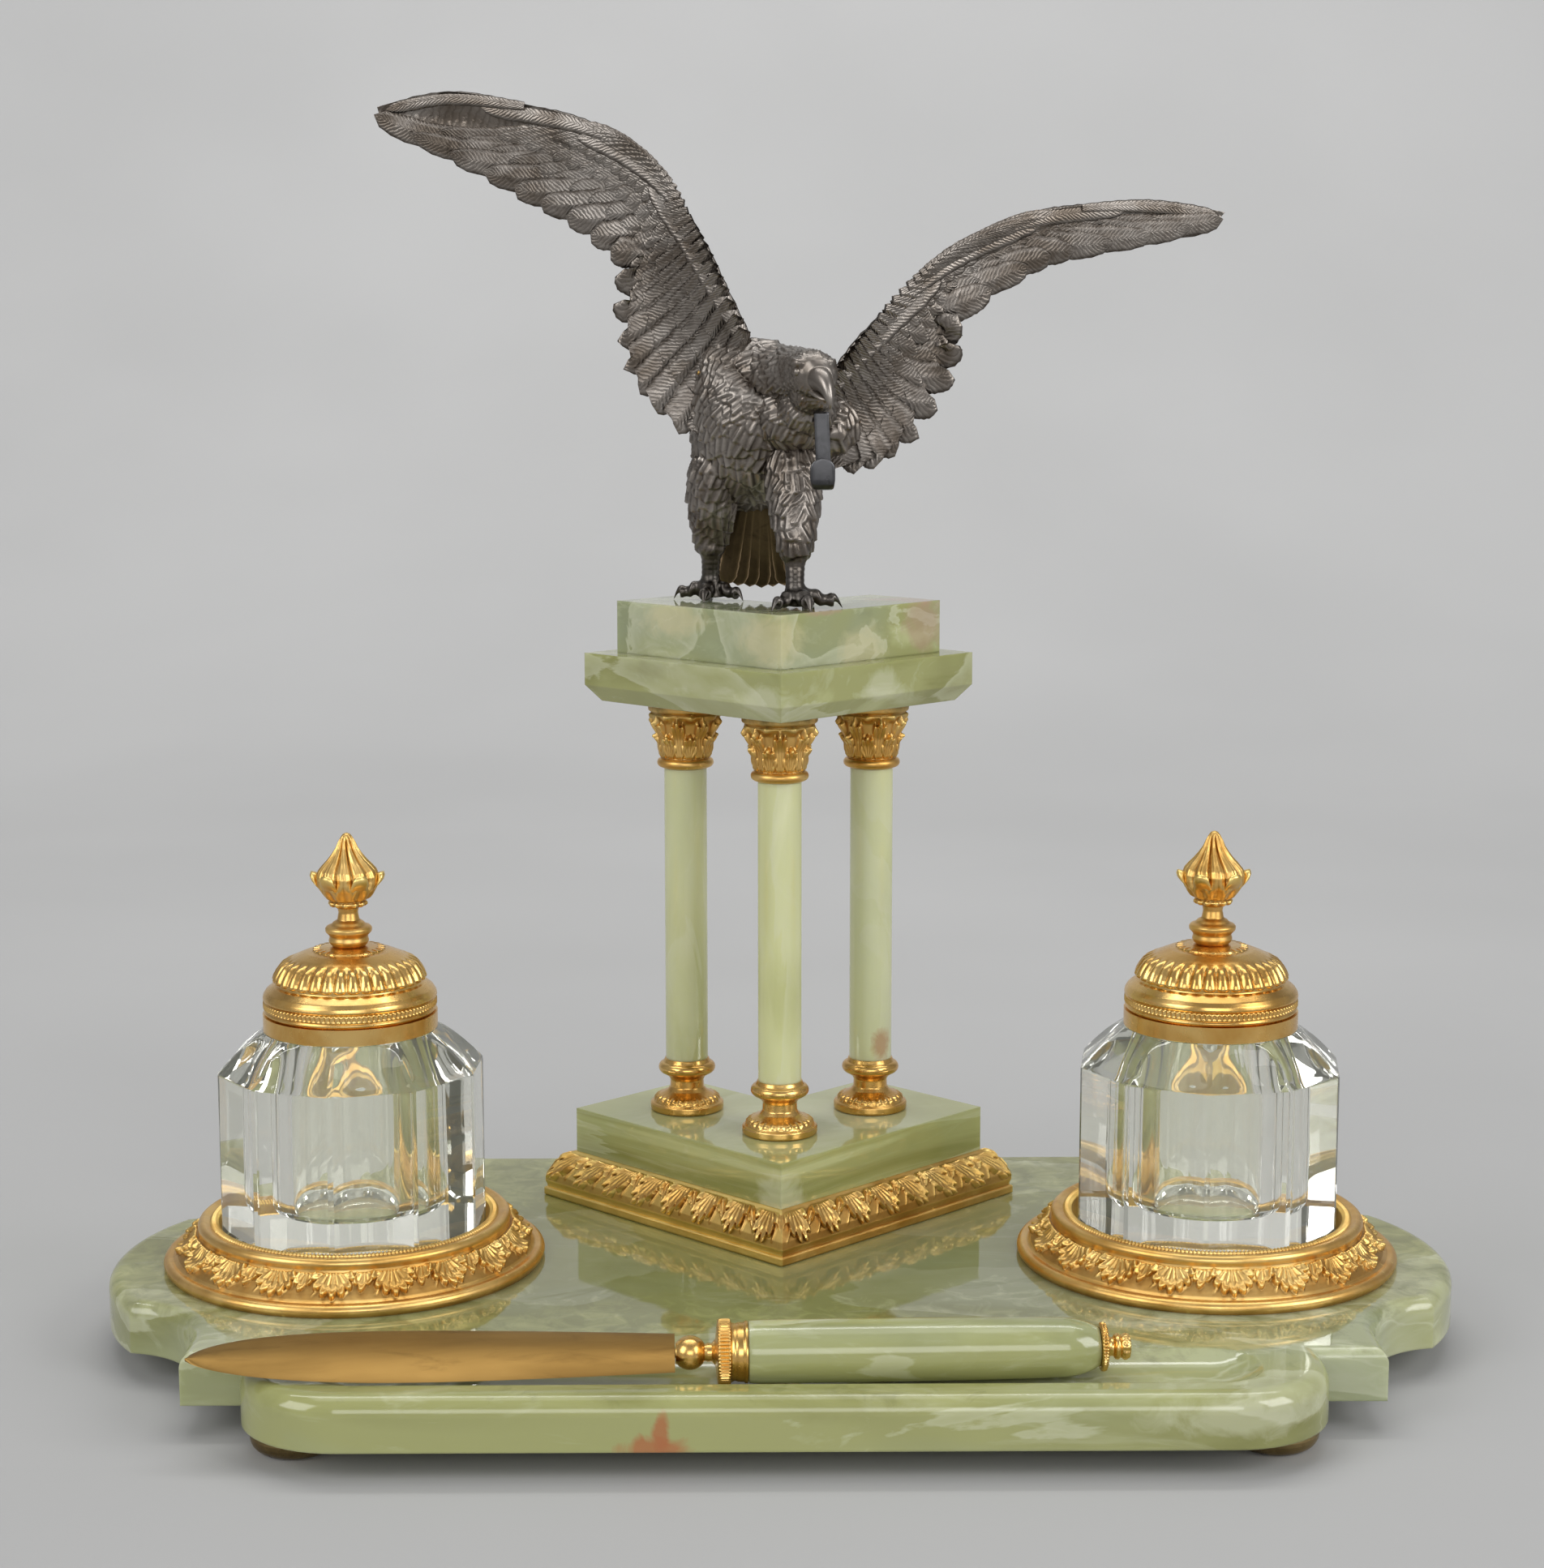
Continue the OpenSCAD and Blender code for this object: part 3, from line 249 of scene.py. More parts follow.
def makeOnyx(name, move, turn=(0, 0, 0), grain=1.0, stainsAndShade=(), edge=0.0008, light=False, veins=0.4, layers=0.3, stretch=(7, 16, 26)):
    # clouded green stone; the stain entries are (centre mm, half sizes mm, tone, how strong): real stains, and with the
    # tone shade a painted shade
    tones = onyxLight if light else onyxTones
    material, tree, shader = newMaterial(name)
    place = objectPlace(tree, tuple(v * grain for v in stretch), move, turn)
    drift = noise(tree, place, 0.7, 3, 0.5, 0.8)
    cloud = noise(tree, place, 1.5, 6, 0.52, 1.5)
    bands = addNode(tree, "ShaderNodeTexWave", {"Vector": place, "Scale": 0.35, "Distortion": 8.0, "Detail": 3.0,
                                               "Detail Scale": 0.8, "Detail Roughness": 0.6},
                    bands_direction="Z").outputs["Fac"]
    blend = maths(tree, "ADD", maths(tree, "MULTIPLY", cloud, 0.70), maths(tree, "MULTIPLY", bands, 0.30))
    body = ramp(tree, blend, [(0.25, tones["olive"]), (0.45, tones["green"]), (0.60, tones["green"]), (0.76, tones["pale"])])
    deep = addNode(tree, "ShaderNodeMapRange", {"Value": drift, "From Min": 0.52, "From Max": 0.74, "To Max": 0.7})
    colour = mixed(tree, deep.outputs[0], body, tones["deep"])
    # cooler greyish parts, and layers that end in a sharp ragged line
    shift = tuple(v + 3.7 for v in move)
    far = noise(tree, objectPlace(tree, tuple(v * grain * 0.8 for v in stretch), shift, turn), 0.9, 3, 0.5, 0.6)
    cool = addNode(tree, "ShaderNodeMapRange", {"Value": far, "From Min": 0.46, "From Max": 0.66, "To Max": 0.75})
    colour = mixed(tree, cool.outputs[0], colour, tones["cool"])
    layer = noise(tree, objectPlace(tree, tuple(v * grain * 1.1 for v in stretch), shift, turn), 1.3, 7, 0.5, 1.0)
    edgeLine = addNode(tree, "ShaderNodeMapRange", {"Value": layer, "From Min": 0.515, "From Max": 0.53, "To Max": layers})
    fade = addNode(tree, "ShaderNodeMapRange", {"Value": layer, "From Min": 0.53, "From Max": 0.66, "To Min": 1.0, "To Max": 0.25})
    colour = mixed(tree, maths(tree, "MULTIPLY", edgeLine.outputs[0], fade.outputs[0]), colour, tones["milk"])
    fine = objectPlace(tree, tuple(v * grain * 2.2 for v in stretch), move, turn)
    wisp = noise(tree, fine, 1.2, 8, 0.60, 2.2)
    milk = addNode(tree, "ShaderNodeMapRange", {"Value": wisp, "From Min": 0.55, "From Max": 0.80, "To Max": veins})
    colour = mixed(tree, milk.outputs[0], colour, tones["milk"])
    # thin healed cracks, only in a few clouded places
    cells = addNode(tree, "ShaderNodeTexVoronoi", {"Vector": addNode(tree, "ShaderNodeVectorMath", {
        0: objectPlace(tree, (12, 20, 24), move), 1: addNode(tree, "ShaderNodeVectorMath", {
            0: noise(tree, fine, 1.2, 4, out="Color"), "Scale": 0.9}, operation="SCALE").outputs[0]},
        operation="ADD").outputs[0], "Scale": 1.0}, feature="DISTANCE_TO_EDGE")
    crack = addNode(tree, "ShaderNodeMapRange", {"Value": cells.outputs["Distance"], "From Min": 0.0, "From Max": 0.02,
                                                 "To Min": veins, "To Max": 0.0})
    patch = addNode(tree, "ShaderNodeMapRange", {"Value": cloud, "From Min": 0.52, "From Max": 0.68})
    colour = mixed(tree, maths(tree, "MULTIPLY", crack.outputs[0], patch.outputs[0]), colour, tones["milk"])
    source = addNode(tree, "ShaderNodeTexCoord").outputs["Object"]
    # each entry lays its tone over a ragged patch; with the tone shade it is painted shade
    for centre, half, tone, amount in stainsAndShade:
        offset = addNode(tree, "ShaderNodeVectorMath", {0: source, 1: tuple(c * mm for c in centre)},
                         operation="SUBTRACT").outputs[0]
        spread = addNode(tree, "ShaderNodeVectorMath", {0: offset, 1: tuple(1 / (h * mm) for h in half)},
                         operation="MULTIPLY").outputs[0]
        far = addNode(tree, "ShaderNodeVectorMath", {0: spread}, operation="LENGTH").outputs["Value"]
        ragged = maths(tree, "ADD", far, maths(tree, "MULTIPLY", maths(tree, "SUBTRACT", noise(
            tree, objectPlace(tree, (120, 120, 120), move), 1.0, 5, 0.6, 1.0), 0.5), 1.6))
        mask = addNode(tree, "ShaderNodeMapRange", {"Value": ragged, "From Min": 0.55, "From Max": 1.1,
                                                    "To Min": amount, "To Max": 0.0})
        colour = mixed(tree, mask.outputs[0], colour, tones[tone])
    tree.links.new(colour, shader.inputs["Base Color"])
    gloss = addNode(tree, "ShaderNodeMapRange", {"Value": wisp, "To Min": 0.02, "To Max": 0.07})
    tree.links.new(gloss.outputs[0], shader.inputs["Roughness"])
    shader.inputs["IOR"].default_value = 1.6
    shader.inputs["Subsurface Weight"].default_value = 0.28
    shader.inputs["Subsurface Radius"].default_value = (0.006, 0.0065, 0.004)
    shader.inputs["Subsurface Scale"].default_value = 1.0
    rounded = addNode(tree, "ShaderNodeBevel", {"Radius": edge}, samples=4).outputs[0]
    bump = addNode(tree, "ShaderNodeBump", {"Strength": 0.06, "Distance": 0.0004, "Height": noise(
        tree, objectPlace(tree, (60, 60, 60), move), 2.0, 4, 0.5), "Normal": rounded})
    tree.links.new(bump.outputs[0], shader.inputs["Normal"])
    return material


def makeMetal(name, low, high, rough, dark=None, darkAmount=0.0, grain=900, bumpSize=0.0, scratch=0.0, metallic=1.0,
              cavity=0.0, stretch=(1, 1, 1)):
    # metal with a drifting tone, worn gloss and, where cavity is set, dirt and painted shade in the hollows of a dense
    # mesh and a painted highlight on its raised points
    material, tree, shader = newMaterial(name)
    place = objectPlace(tree, stretch)
    tone = noise(tree, place, 55, 5, 0.6, 0.6)
    colour = ramp(tree, tone, [(0.3, low), (0.7, high)])
    if dark:
        spots = addNode(tree, "ShaderNodeMapRange", {"Value": noise(tree, place, 160, 6, 0.65, 0.8), "From Min": 0.55,
                                                     "From Max": 0.75, "To Max": darkAmount})
        colour = mixed(tree, spots.outputs[0], colour, dark)
    if cavity:
        # dirt with painted shade: the hollows of the mesh are darkened
        hollow = addNode(tree, "ShaderNodeMapRange", {"Value": addNode(tree, "ShaderNodeNewGeometry").outputs["Pointiness"],
                                                      "From Min": 0.40, "From Max": 0.505, "To Min": cavity, "To Max": 0.0})
        colour = mixed(tree, hollow.outputs[0], colour, dark)
        # painted highlight: the raised points of the mesh are lightened
        raised = addNode(tree, "ShaderNodeMapRange", {"Value": addNode(tree, "ShaderNodeNewGeometry").outputs["Pointiness"],
                                                      "From Min": 0.51, "From Max": 0.60, "To Min": 0.0, "To Max": 0.5})
        colour = mixed(tree, raised.outputs[0], colour, tuple(min(1, c * 1.5) for c in high))
    tree.links.new(colour, shader.inputs["Base Color"])
    shader.inputs["Metallic"].default_value = metallic
    worn = addNode(tree, "ShaderNodeMapRange", {"Value": noise(tree, place, 120, 5, 0.6), "From Min": 0.3, "From Max": 0.7,
                                                "To Min": rough[0], "To Max": rough[1]})
    tree.links.new(worn.outputs[0], shader.inputs["Roughness"])
    height = noise(tree, objectPlace(tree, stretch), grain, 4, 0.6)
    bump = addNode(tree, "ShaderNodeBump", {"Strength": 0.25, "Distance": bumpSize or 0.00005, "Height": height})
    tree.links.new(bump.outputs[0], shader.inputs["Normal"])
    return material


def makeGlass(name):
    material, tree, shader = newMaterial(name)
    place = objectPlace(tree)
    tint = ramp(tree, noise(tree, place, 12, 2), [(0.35, (0.925, 0.93, 0.845)), (0.65, (0.955, 0.957, 0.895))])
    tree.links.new(tint, shader.inputs["Base Color"])
    shader.inputs["Transmission Weight"].default_value = 0.965
    shader.inputs["IOR"].default_value = 1.52
    smear = addNode(tree, "ShaderNodeMapRange", {"Value": noise(tree, place, 60, 4), "To Min": 0.0, "To Max": 0.015})
    tree.links.new(smear.outputs[0], shader.inputs["Roughness"])
    # light reaches what lies under and behind the glass
    clear = addNode(tree, "ShaderNodeBsdfTransparent", {"Color": (0.93, 0.96, 0.92, 1)})
    paths = addNode(tree, "ShaderNodeLightPath")
    both = addNode(tree, "ShaderNodeMixShader", {0: paths.outputs["Is Shadow Ray"], 1: shader.outputs[0], 2: clear.outputs[0]})
    tree.links.new(both.outputs[0], tree.nodes["Material Output"].inputs["Surface"])
    return material


gold = {"low": srgb(208, 160, 84), "high": srgb(232, 194, 122), "dark": srgb(110, 72, 28)}
giltCarved = makeMetal("gilt brass, carved", gold["low"], gold["high"], (0.30, 0.46), gold["dark"], 0.22, cavity=0.8)
giltLeaves = makeMetal("gilt brass, leaf band", gold["low"], gold["high"], (0.28, 0.44), gold["dark"], 0.22, cavity=0.8)


def addGround(material):
    # dull brown ground between the leaves, read from the relief stored on the mesh: a matt ground with painted shade
    tree = material.node_tree
    shader = tree.nodes["Principled BSDF"]
    relief = addNode(tree, "ShaderNodeAttribute", attribute_name="relief").outputs["Fac"]
    speck = maths(tree, "MULTIPLY", noise(tree, objectPlace(tree), 500, 4), 0.3)
    # painted shade: where the relief is low the gilt turns brown and duller
    low = addNode(tree, "ShaderNodeMapRange", {"Value": maths(tree, "ADD", relief, speck), "From Min": 0.12, "From Max": 0.55,
                                               "To Min": 0.55, "To Max": 0.0})
    colour = mixed(tree, low.outputs[0], shader.inputs["Base Color"].links[0].from_socket, srgb(118, 84, 40))
    tree.links.new(colour, shader.inputs["Base Color"])
    dull = maths(tree, "ADD", shader.inputs["Roughness"].links[0].from_socket, maths(tree, "MULTIPLY", low.outputs[0], 0.25))
    tree.links.new(dull, shader.inputs["Roughness"])


addGround(giltLeaves)
giltPlain = makeMetal("gilt brass, burnished", gold["low"], gold["high"], (0.20, 0.32), gold["dark"], 0.10)
bladeBrass = makeMetal("knife blade, satin gilt", srgb(132, 102, 54), srgb(154, 122, 68), (0.38, 0.5), srgb(70, 46, 22),
                       0.35, stretch=(0.25, 1, 1))
darkBrass = makeMetal("foot brass, tarnished", srgb(120, 102, 68), srgb(168, 146, 100), (0.2, 0.4), srgb(40, 32, 22), 0.6)
plainBrass = makeMetal("plain brass", srgb(150, 118, 62), srgb(184, 150, 86), (0.25, 0.4), srgb(70, 50, 26), 0.3)
steel = makeMetal("steel", srgb(120, 120, 118), srgb(164, 164, 160), (0.28, 0.42), srgb(60, 58, 55), 0.3)
darkSteel = makeMetal("hook steel, dark", srgb(60, 60, 62), srgb(96, 96, 98), (0.24, 0.40), srgb(34, 32, 30), 0.5)
silver = {"low": srgb(104, 95, 86), "high": srgb(150, 144, 138), "dark": srgb(46, 37, 28)}
castSilver = makeMetal("silvered bronze", silver["low"], silver["high"], (0.26, 0.44), silver["dark"], 0.75, grain=700,
                       bumpSize=0.00012, cavity=0.9)
glass = makeGlass("cut glass")

onyxPieces = {
    "base_slab": {"move": (0.3, 1.7, 4.1), "turn": (0, 0, 0.12), "grain": 0.9, "veins": 0.36, "layers": 0.36,
                  # the first entry is painted shade over the top of the base slab; the rest are real stains
                  "stainsAndShade": (((0, 15, 22), (225, 100, 5), "shade", 0.62), ((-33, -109, 8.5), (9.5, 6, 3.6), "rust", 0.85), ((-31, -109, 13), (2.4, 6, 6.5), "rust", 0.85),
                             ((112, -103, 16), (26, 12, 5), "milk", 0.35), ((-150, -60, 15), (24, 14, 7), "milk", 0.4))},
    "plinth": {"move": (2.4, 0.4, 7.7), "turn": (0.05, 0.04, 0.4), "grain": 0.9, "stretch": (5, 5, 60), "veins": 0.3, "stainsAndShade": (((0, 3, 38), (12, 9, 9), "milk", 0.4),)},
    "column_shaft_left": {"move": (5.1, 3.3, 1.2), "grain": 0.9, "light": True, "veins": 0.25, "stretch": (26, 26, 9)},
    "column_shaft_right": {"move": (7.9, 1.1, 2.6), "grain": 0.9, "light": True, "veins": 0.25, "stretch": (26, 26, 9),
                           "stainsAndShade": (((32, 58.5, 70), (4.5, 3, 5.5), "rust", 0.6),)},
    "column_shaft_front": {"move": (1.6, 8.2, 3.8), "grain": 0.9, "light": True, "veins": 0.3, "stretch": (26, 26, 9)},
    "upper_slab": {"move": (4.7, 6.1, 0.9), "turn": (0.1, 0.05, 0.2), "grain": 1.0, "veins": 0.55, "layers": 0.4,
                   "stainsAndShade": (((-6, 12, 179), (13, 9, 5), "milk", 0.45), ((30, 36, 181), (11, 6, 5), "milk", 0.4))},
    "top_block": {"move": (9.2, 2.8, 5.5), "turn": (0.35, 0.15, 0.2), "grain": 1.6, "veins": 0.5, "layers": 0.5, "stretch": (12, 14, 22),
                  "stainsAndShade": (((-4, 20, 195), (12, 11, 8), "cream", 0.5), ((-33, 46, 199), (15, 12, 6), "cream", 0.5),
                             ((24, 40, 191), (11, 10, 8), "cream", 0.45), ((41, 60, 197), (8, 9, 9), "blush", 0.5),
                             ((38, 66, 203), (12, 8, 3), "blush", 0.6), ((12, 30, 203), (9, 9, 1.6), "blush", 0.5))},
    "knife_handle": {"move": (6.6, 4.9, 8.8), "turn": (0.1, 0.1, 0), "grain": 1.0, "veins": 0.35, "layers": 0.35, "stretch": (9, 40, 40)},
}
for node, choices in onyxPieces.items():
    stone = makeOnyx("onyx " + node.replace("_", " "), **choices)
    nodes[node].data.materials.clear()
    nodes[node].data.materials.append(stone)


def finish(name, material):
    nodes[name].data.materials.clear()
    nodes[name].data.materials.append(material)


for name in nodes:
    if name.startswith("foot_") and name != "foot_screws":
        finish(name, darkBrass)
    elif name in ("foot_screws", "ring_screws", "tie_rods", "eagle_studs") or name.endswith("hinge_pin"):
        finish(name, steel)
    elif name in ("stud_nuts", "tie_rod_nuts", "wing_dowels"):
        finish(name, plainBrass)
    elif name == "watch_hook":
        finish(name, darkSteel)
    elif name.endswith("_collar"):
        finish(name, giltPlain)
print("materials made")


# Camera, floor and light

shot = {"place": (-9.908, -787.27, 278.2), "down": 8.684, "right": 0.535, "roll": -0.035, "focalPixels": 3568.2,
        "longSide": 1934}


def addCamera():
    down, right = math.radians(shot["down"]), math.radians(shot["right"])
    forward = Vector((math.sin(right) * math.cos(down), math.cos(right) * math.cos(down), -math.sin(down)))
    side = forward.cross(Vector((0, 0, 1))).normalized()
    above = side.cross(forward)
    matrix = Matrix((side, above, -forward)).transposed().to_4x4() @ Matrix.Rotation(math.radians(shot["roll"]), 4, "Z")
    matrix.translation = Vector(shot["place"]) * mm
    data = bpy.data.cameras.new("photo camera")
    data.sensor_width = 36
    data.lens = 36 * shot["focalPixels"] / shot["longSide"]
    data.clip_start, data.clip_end = 0.01, 30
    camera = bpy.data.objects.new("photo camera", data)
    camera.matrix_world = matrix
    scene.collection.objects.link(camera)
    scene.camera = camera


def addFloor():
    # seamless paper: flat under the stand, curving up far behind it
    rows = [(-2.2, 0.0), (0.9, 0.0)] + [(0.9 + 1.2 * math.sin(math.radians(a)), 1.2 - 1.2 * math.cos(math.radians(a)))
                                        for a in range(5, 91, 5)] + [(2.1, 3.4)]
    points = [(x, y, z) for y, z in rows for x in (-3.4, 3.4)]
    mesh = bpy.data.meshes.new("paper floor")
    mesh.from_pydata(points, [], gridFaces(len(rows), 2).tolist())
    mesh.shade_smooth()
    material, tree, shader = newMaterial("grey paper")
    place = objectPlace(tree)
    tone = ramp(tree, noise(tree, place, 2.2, 3, 0.5), [(0.3, (0.40, 0.40, 0.398)), (0.7, (0.43, 0.43, 0.428))])
    tree.links.new(tone, shader.inputs["Base Color"])
    shader.inputs["Roughness"].default_value = 0.75
    shader.inputs["Specular IOR Level"].default_value = 0.25
    bump = addNode(tree, "ShaderNodeBump", {"Strength": 0.08, "Distance": 0.0005, "Height": noise(tree, place, 300, 4)})
    tree.links.new(bump.outputs[0], shader.inputs["Normal"])
    mesh.materials.append(material)
    paper = bpy.data.objects.new("paper_floor", mesh)
    scene.collection.objects.link(paper)


lamps = {
    "left softbox": {"at": (-1.5, -1.1, 1.1), "aim": (0, 0, 0.15), "size": (1.1, 1.3), "power": 16},
    "right softbox": {"at": (1.5, -1.0, 1.0), "aim": (0, 0, 0.15), "size": (1.0, 1.2), "power": 18.5},
    "front fill": {"at": (0.1, -2.2, 0.75), "aim": (0, 0, 0.1), "size": (1.4, 0.8), "power": 11},
    "top softbox": {"at": (0.0, 0.2, 1.9), "aim": (0, 0.05, 0.1), "size": (1.6, 1.2), "power": 8},
    "wall wash": {"at": (0.0, 0.5, 1.9), "aim": (0, 2.1, 1.0), "size": (2.4, 0.6), "power": 31},
}


def addLights():
    for name, lamp in lamps.items():
        data = bpy.data.lights.new(name, "AREA")
        data.shape = "RECTANGLE"
        data.size, data.size_y = lamp["size"]
        data.energy = lamp["power"]
        light = bpy.data.objects.new(name, data)
        light.location = lamp["at"]
        light.rotation_euler = (Vector(lamp["aim"]) - Vector(lamp["at"])).to_track_quat("-Z", "Y").to_euler()
        scene.collection.objects.link(light)
    world = bpy.data.worlds.new("studio")
    world.use_nodes = True
    world.node_tree.nodes["Background"].inputs["Color"].default_value = (0.82, 0.82, 0.825, 1)
    world.node_tree.nodes["Background"].inputs["Strength"].default_value = 0.42
    scene.world = world


scene.view_settings.view_transform = "Standard"
addCamera()
addFloor()
addLights()
print("camera, floor and lights set")


# Gilt rings round the bottles

ringCarving = {"outer": 53.3, "bore": 38.0, "height": 13.4, "leaves": 18, "depth": 1.55, "beads": 230, "around": 1610}


def fanLeaf(across, along, fingers, spread=1.25):
    # broad leaf from root (along 0) to tip (1): separate rounded fingers with cut grooves and a turned-over rim
    angle = np.arctan2(across, along + 0.30)
    reach = np.hypot(across * 0.86, along + 0.04)
    phase = angle / (2 * spread) * fingers
    finger = np.abs(np.cos(math.pi * (phase - np.round(phase)))) if fingers % 2 else np.abs(np.sin(math.pi * phase))
    edge = (1.02 - 0.16 * (angle / spread) ** 2) * (0.70 + 0.30 * finger ** 0.6)
    inside = smoothStep((edge - reach) / 0.07) * smoothStep((spread - np.abs(angle)) / 0.10)
    groove = 0.30 + 0.70 * finger ** 0.7
    rim = 0.55 * smoothStep((reach - edge + 0.34) / 0.24)
    return inside * (groove * (0.35 + 0.30 * np.clip(reach, 0, 1)) + rim * groove)


def leafBand(position, along, depth, lean=0.0, fingers=7, width=0.78):
    # relief for a row of leaves; position counts leaves along the row, along is 0 at the roots and 1 at the tips
    along = np.clip(along, -0.2, 1.3)

    def row(shift, wide, long, count, tilt):
        place = position + shift
        across = ((place - np.floor(place)) * 2 - 1 + tilt * (along - 0.3)) / wide
        return fanLeaf(across, along / long, count)

    big = row(0.0, width, 1.0, fingers, lean)
    small = row(0.5, 0.34, 0.74, 3, -lean + 0.25)
    place = position + 0.25
    stem = 0.45 * np.exp(-(((place * 2 - np.round(place * 2)) - 0.16 * np.sin(along * 5)) / 0.05) ** 2) * smoothStep((0.9 - along) / 0.2)
    return depth * np.maximum(np.maximum(big, 0.8 * small), 0.6 * stem)


def addRings():
    c = ringCarving
    r, k = c["outer"], c["height"] - 13.4
    base = ([(c["bore"], 0.0), (r - 0.9, 0.0)] + arc(r - 1.7, 1.7, 1.7, -40, 100, 12)
            + [(r - 2.8, 3.3), (r - 3.4, 3.6), (r - 5.2, 5.0), (r - 7.2, 7.0 + k), (r - 8.4, 8.7 + k), (r - 8.8, 9.3 + k), (r - 9.6, 9.6 + k),
               (r - 9.8, 10.4 + k)] + arc(r - 11.2, 11.6 + k, 1.6, -20, 95, 10)
            + [(c["bore"] + 2.2, 12.7 + k), (c["bore"] + 1.8, 13.3 + k), (c["bore"] + 0.7, 13.3 + k), (c["bore"], 12.6 + k)])
    profile = refined(base, 0.26)

    def relief(angle, radius, height):
        along = (9.6 - height) / 6.1
        row = smoothStep((along + 0.02) / 0.06) * smoothStep((1.04 - along) / 0.06) * (radius > r - 9.4)
        leaves = leafBand(angle / (2 * math.pi) * c["leaves"], along * 1.02, c["depth"], fingers=7)
        inner = (radius < c["bore"] + 2.3) & (height > 12.2)
        beads = 0.34 * np.abs(np.cos(angle * c["beads"] / 2)) ** 1.4 * inner - 0.2 * inner
        return row * leaves + beads

    def ground(angle, radius, height):
        # 1 on the plain mouldings, the leaf's own height inside the leaf band
        band = smoothStep((height - 3.7) / 0.3) * smoothStep((9.5 - height) / 0.3) * (radius > r - 9.4) * (radius < r - 2.9)
        return relief(angle, radius, height) * band + 1 - band

    shape = turnedShape(profile, c["around"], relief)
    # relief kept for the painted shade and duller ground between the leaves
    groundAndShade = reliefOn(profile, c["around"], ground)
    for side, name in ((-1, "left"), (1, "right")):
        points, faces = placed(shape, side * stand["wellX"], stand["wellY"], stand["top"], turn=90 + 180 / c["leaves"])
        storeRelief(makePiece(name + "_ring_carved", points, faces, giltLeaves, "stand", [name + "_ring"]), groundAndShade)
    print("rings carved")


# Moulding round the foot of the plinth

mouldCarving = {"out": 7.1, "height": 13.7, "depth": 1.25, "leaves": (8, 5, 5, 5, 5, 8), "columns": 44}


def armCorners(off):
    s, t = stand["armWidth"] / math.sqrt(2), stand["sideCorner"]
    o = off * math.sqrt(2)
    zero = np.zeros_like(o)
    return [np.stack(p, -1) for p in ((zero, -t - o), (t + o, zero), (t - s + zero, s + o), (zero, -t + 2 * s + o),
                                      (-t + s + zero, s + o), (-t - o, zero))]


def addMoulding():
    c = mouldCarving
    o, h = c["out"], c["height"]
    profile = refined([(0.0, 0.0), (o - 0.3, 0.0), (o, 0.3), (o, 0.16 * h), (o - 0.2, 0.185 * h), (o - 0.7, 0.2 * h), (o - 0.7, 0.24 * h), (o - 0.25, 0.33 * h),
                       (o - 0.5, 0.5 * h), (0.74 * o, 0.7 * h), (0.47 * o, 0.87 * h), (0.17 * o, 0.96 * h),
                       (0.05 * o, h), (0.0, h)], 0.32)
    ring = np.roll(profile, -1, 0) - np.roll(profile, 1, 0)
    normal = np.stack([ring[:, 1], -ring[:, 0]], 1)
    normal /= np.maximum(np.linalg.norm(normal, axis=1), 1e-9)[:, None]
    length = np.concatenate([[0], np.cumsum(np.linalg.norm(np.diff(profile, axis=0), axis=1))])
    start = length[np.argmin(np.abs(profile[:, 0] - 0.2 * o) + (profile[:, 1] < 0.9 * h) * 9)]
    end = length[np.argmin(np.abs(profile[:, 1] - 0.34 * h) + (profile[:, 0] < 5) * 9)]
    along = (length - start) / (end - start)
    row = smoothStep((along + 0.02) / 0.08) * smoothStep((1.02 - along) / 0.06)
    # the relief is also kept for the painted shade and duller ground between the leaves
    parts, groundAndShade = [], []
    for edge, count in enumerate(c["leaves"]):
        columns = count * c["columns"] + 1
        f = np.linspace(0, 1, columns)[None, :]
        lean = {5: 0.8, 0: -0.8}.get(edge, 0.5)
        mirror = f if edge != 5 else f
        height = leafBand(np.clip(mirror * count, 0, count - 1e-6) + 0 * along[:, None], along[:, None] + 0 * f, c["depth"], lean=lean, fingers=6)
        taper = smoothStep(np.minimum(f, 1 - f) * count / 0.25)
        push = height * row[:, None] * taper
        groundAndShade.append((push + (1 - row[:, None])).ravel())
        off = profile[:, :1] + push * normal[:, :1]
        z = profile[:, 1:] + push * normal[:, 1:]
        corners = armCorners(off)
        a, b = corners[edge], corners[(edge + 1) % 6]
        xy = a + (b - a) * f[..., None]
        points = np.concatenate([xy, z[..., None]], 2)
        parts.append((points, gridFaces(len(profile), columns, aroundRows=True)))
    points, faces = placed(joined(parts), 0, stand["towerY"], stand["top"])
    points[:, 1] = np.minimum(points[:, 1], stand["back"] - 0.02)
    moulding = makePiece("plinth_moulding_carved", points, faces, giltLeaves, "stand", ["plinth_moulding"], sharp=50)
    storeRelief(moulding, np.concatenate(groundAndShade))
    print("moulding carved")


# Column bases and capitals

columnWork = {"base": {"height": 15.8, "radius": 11.0, "tongues": 26}, "shaftRadius": 6.35,
              "capital": {"height": 19.9, "radius": 11.4, "leaves": 8, "depth": 1.35}}


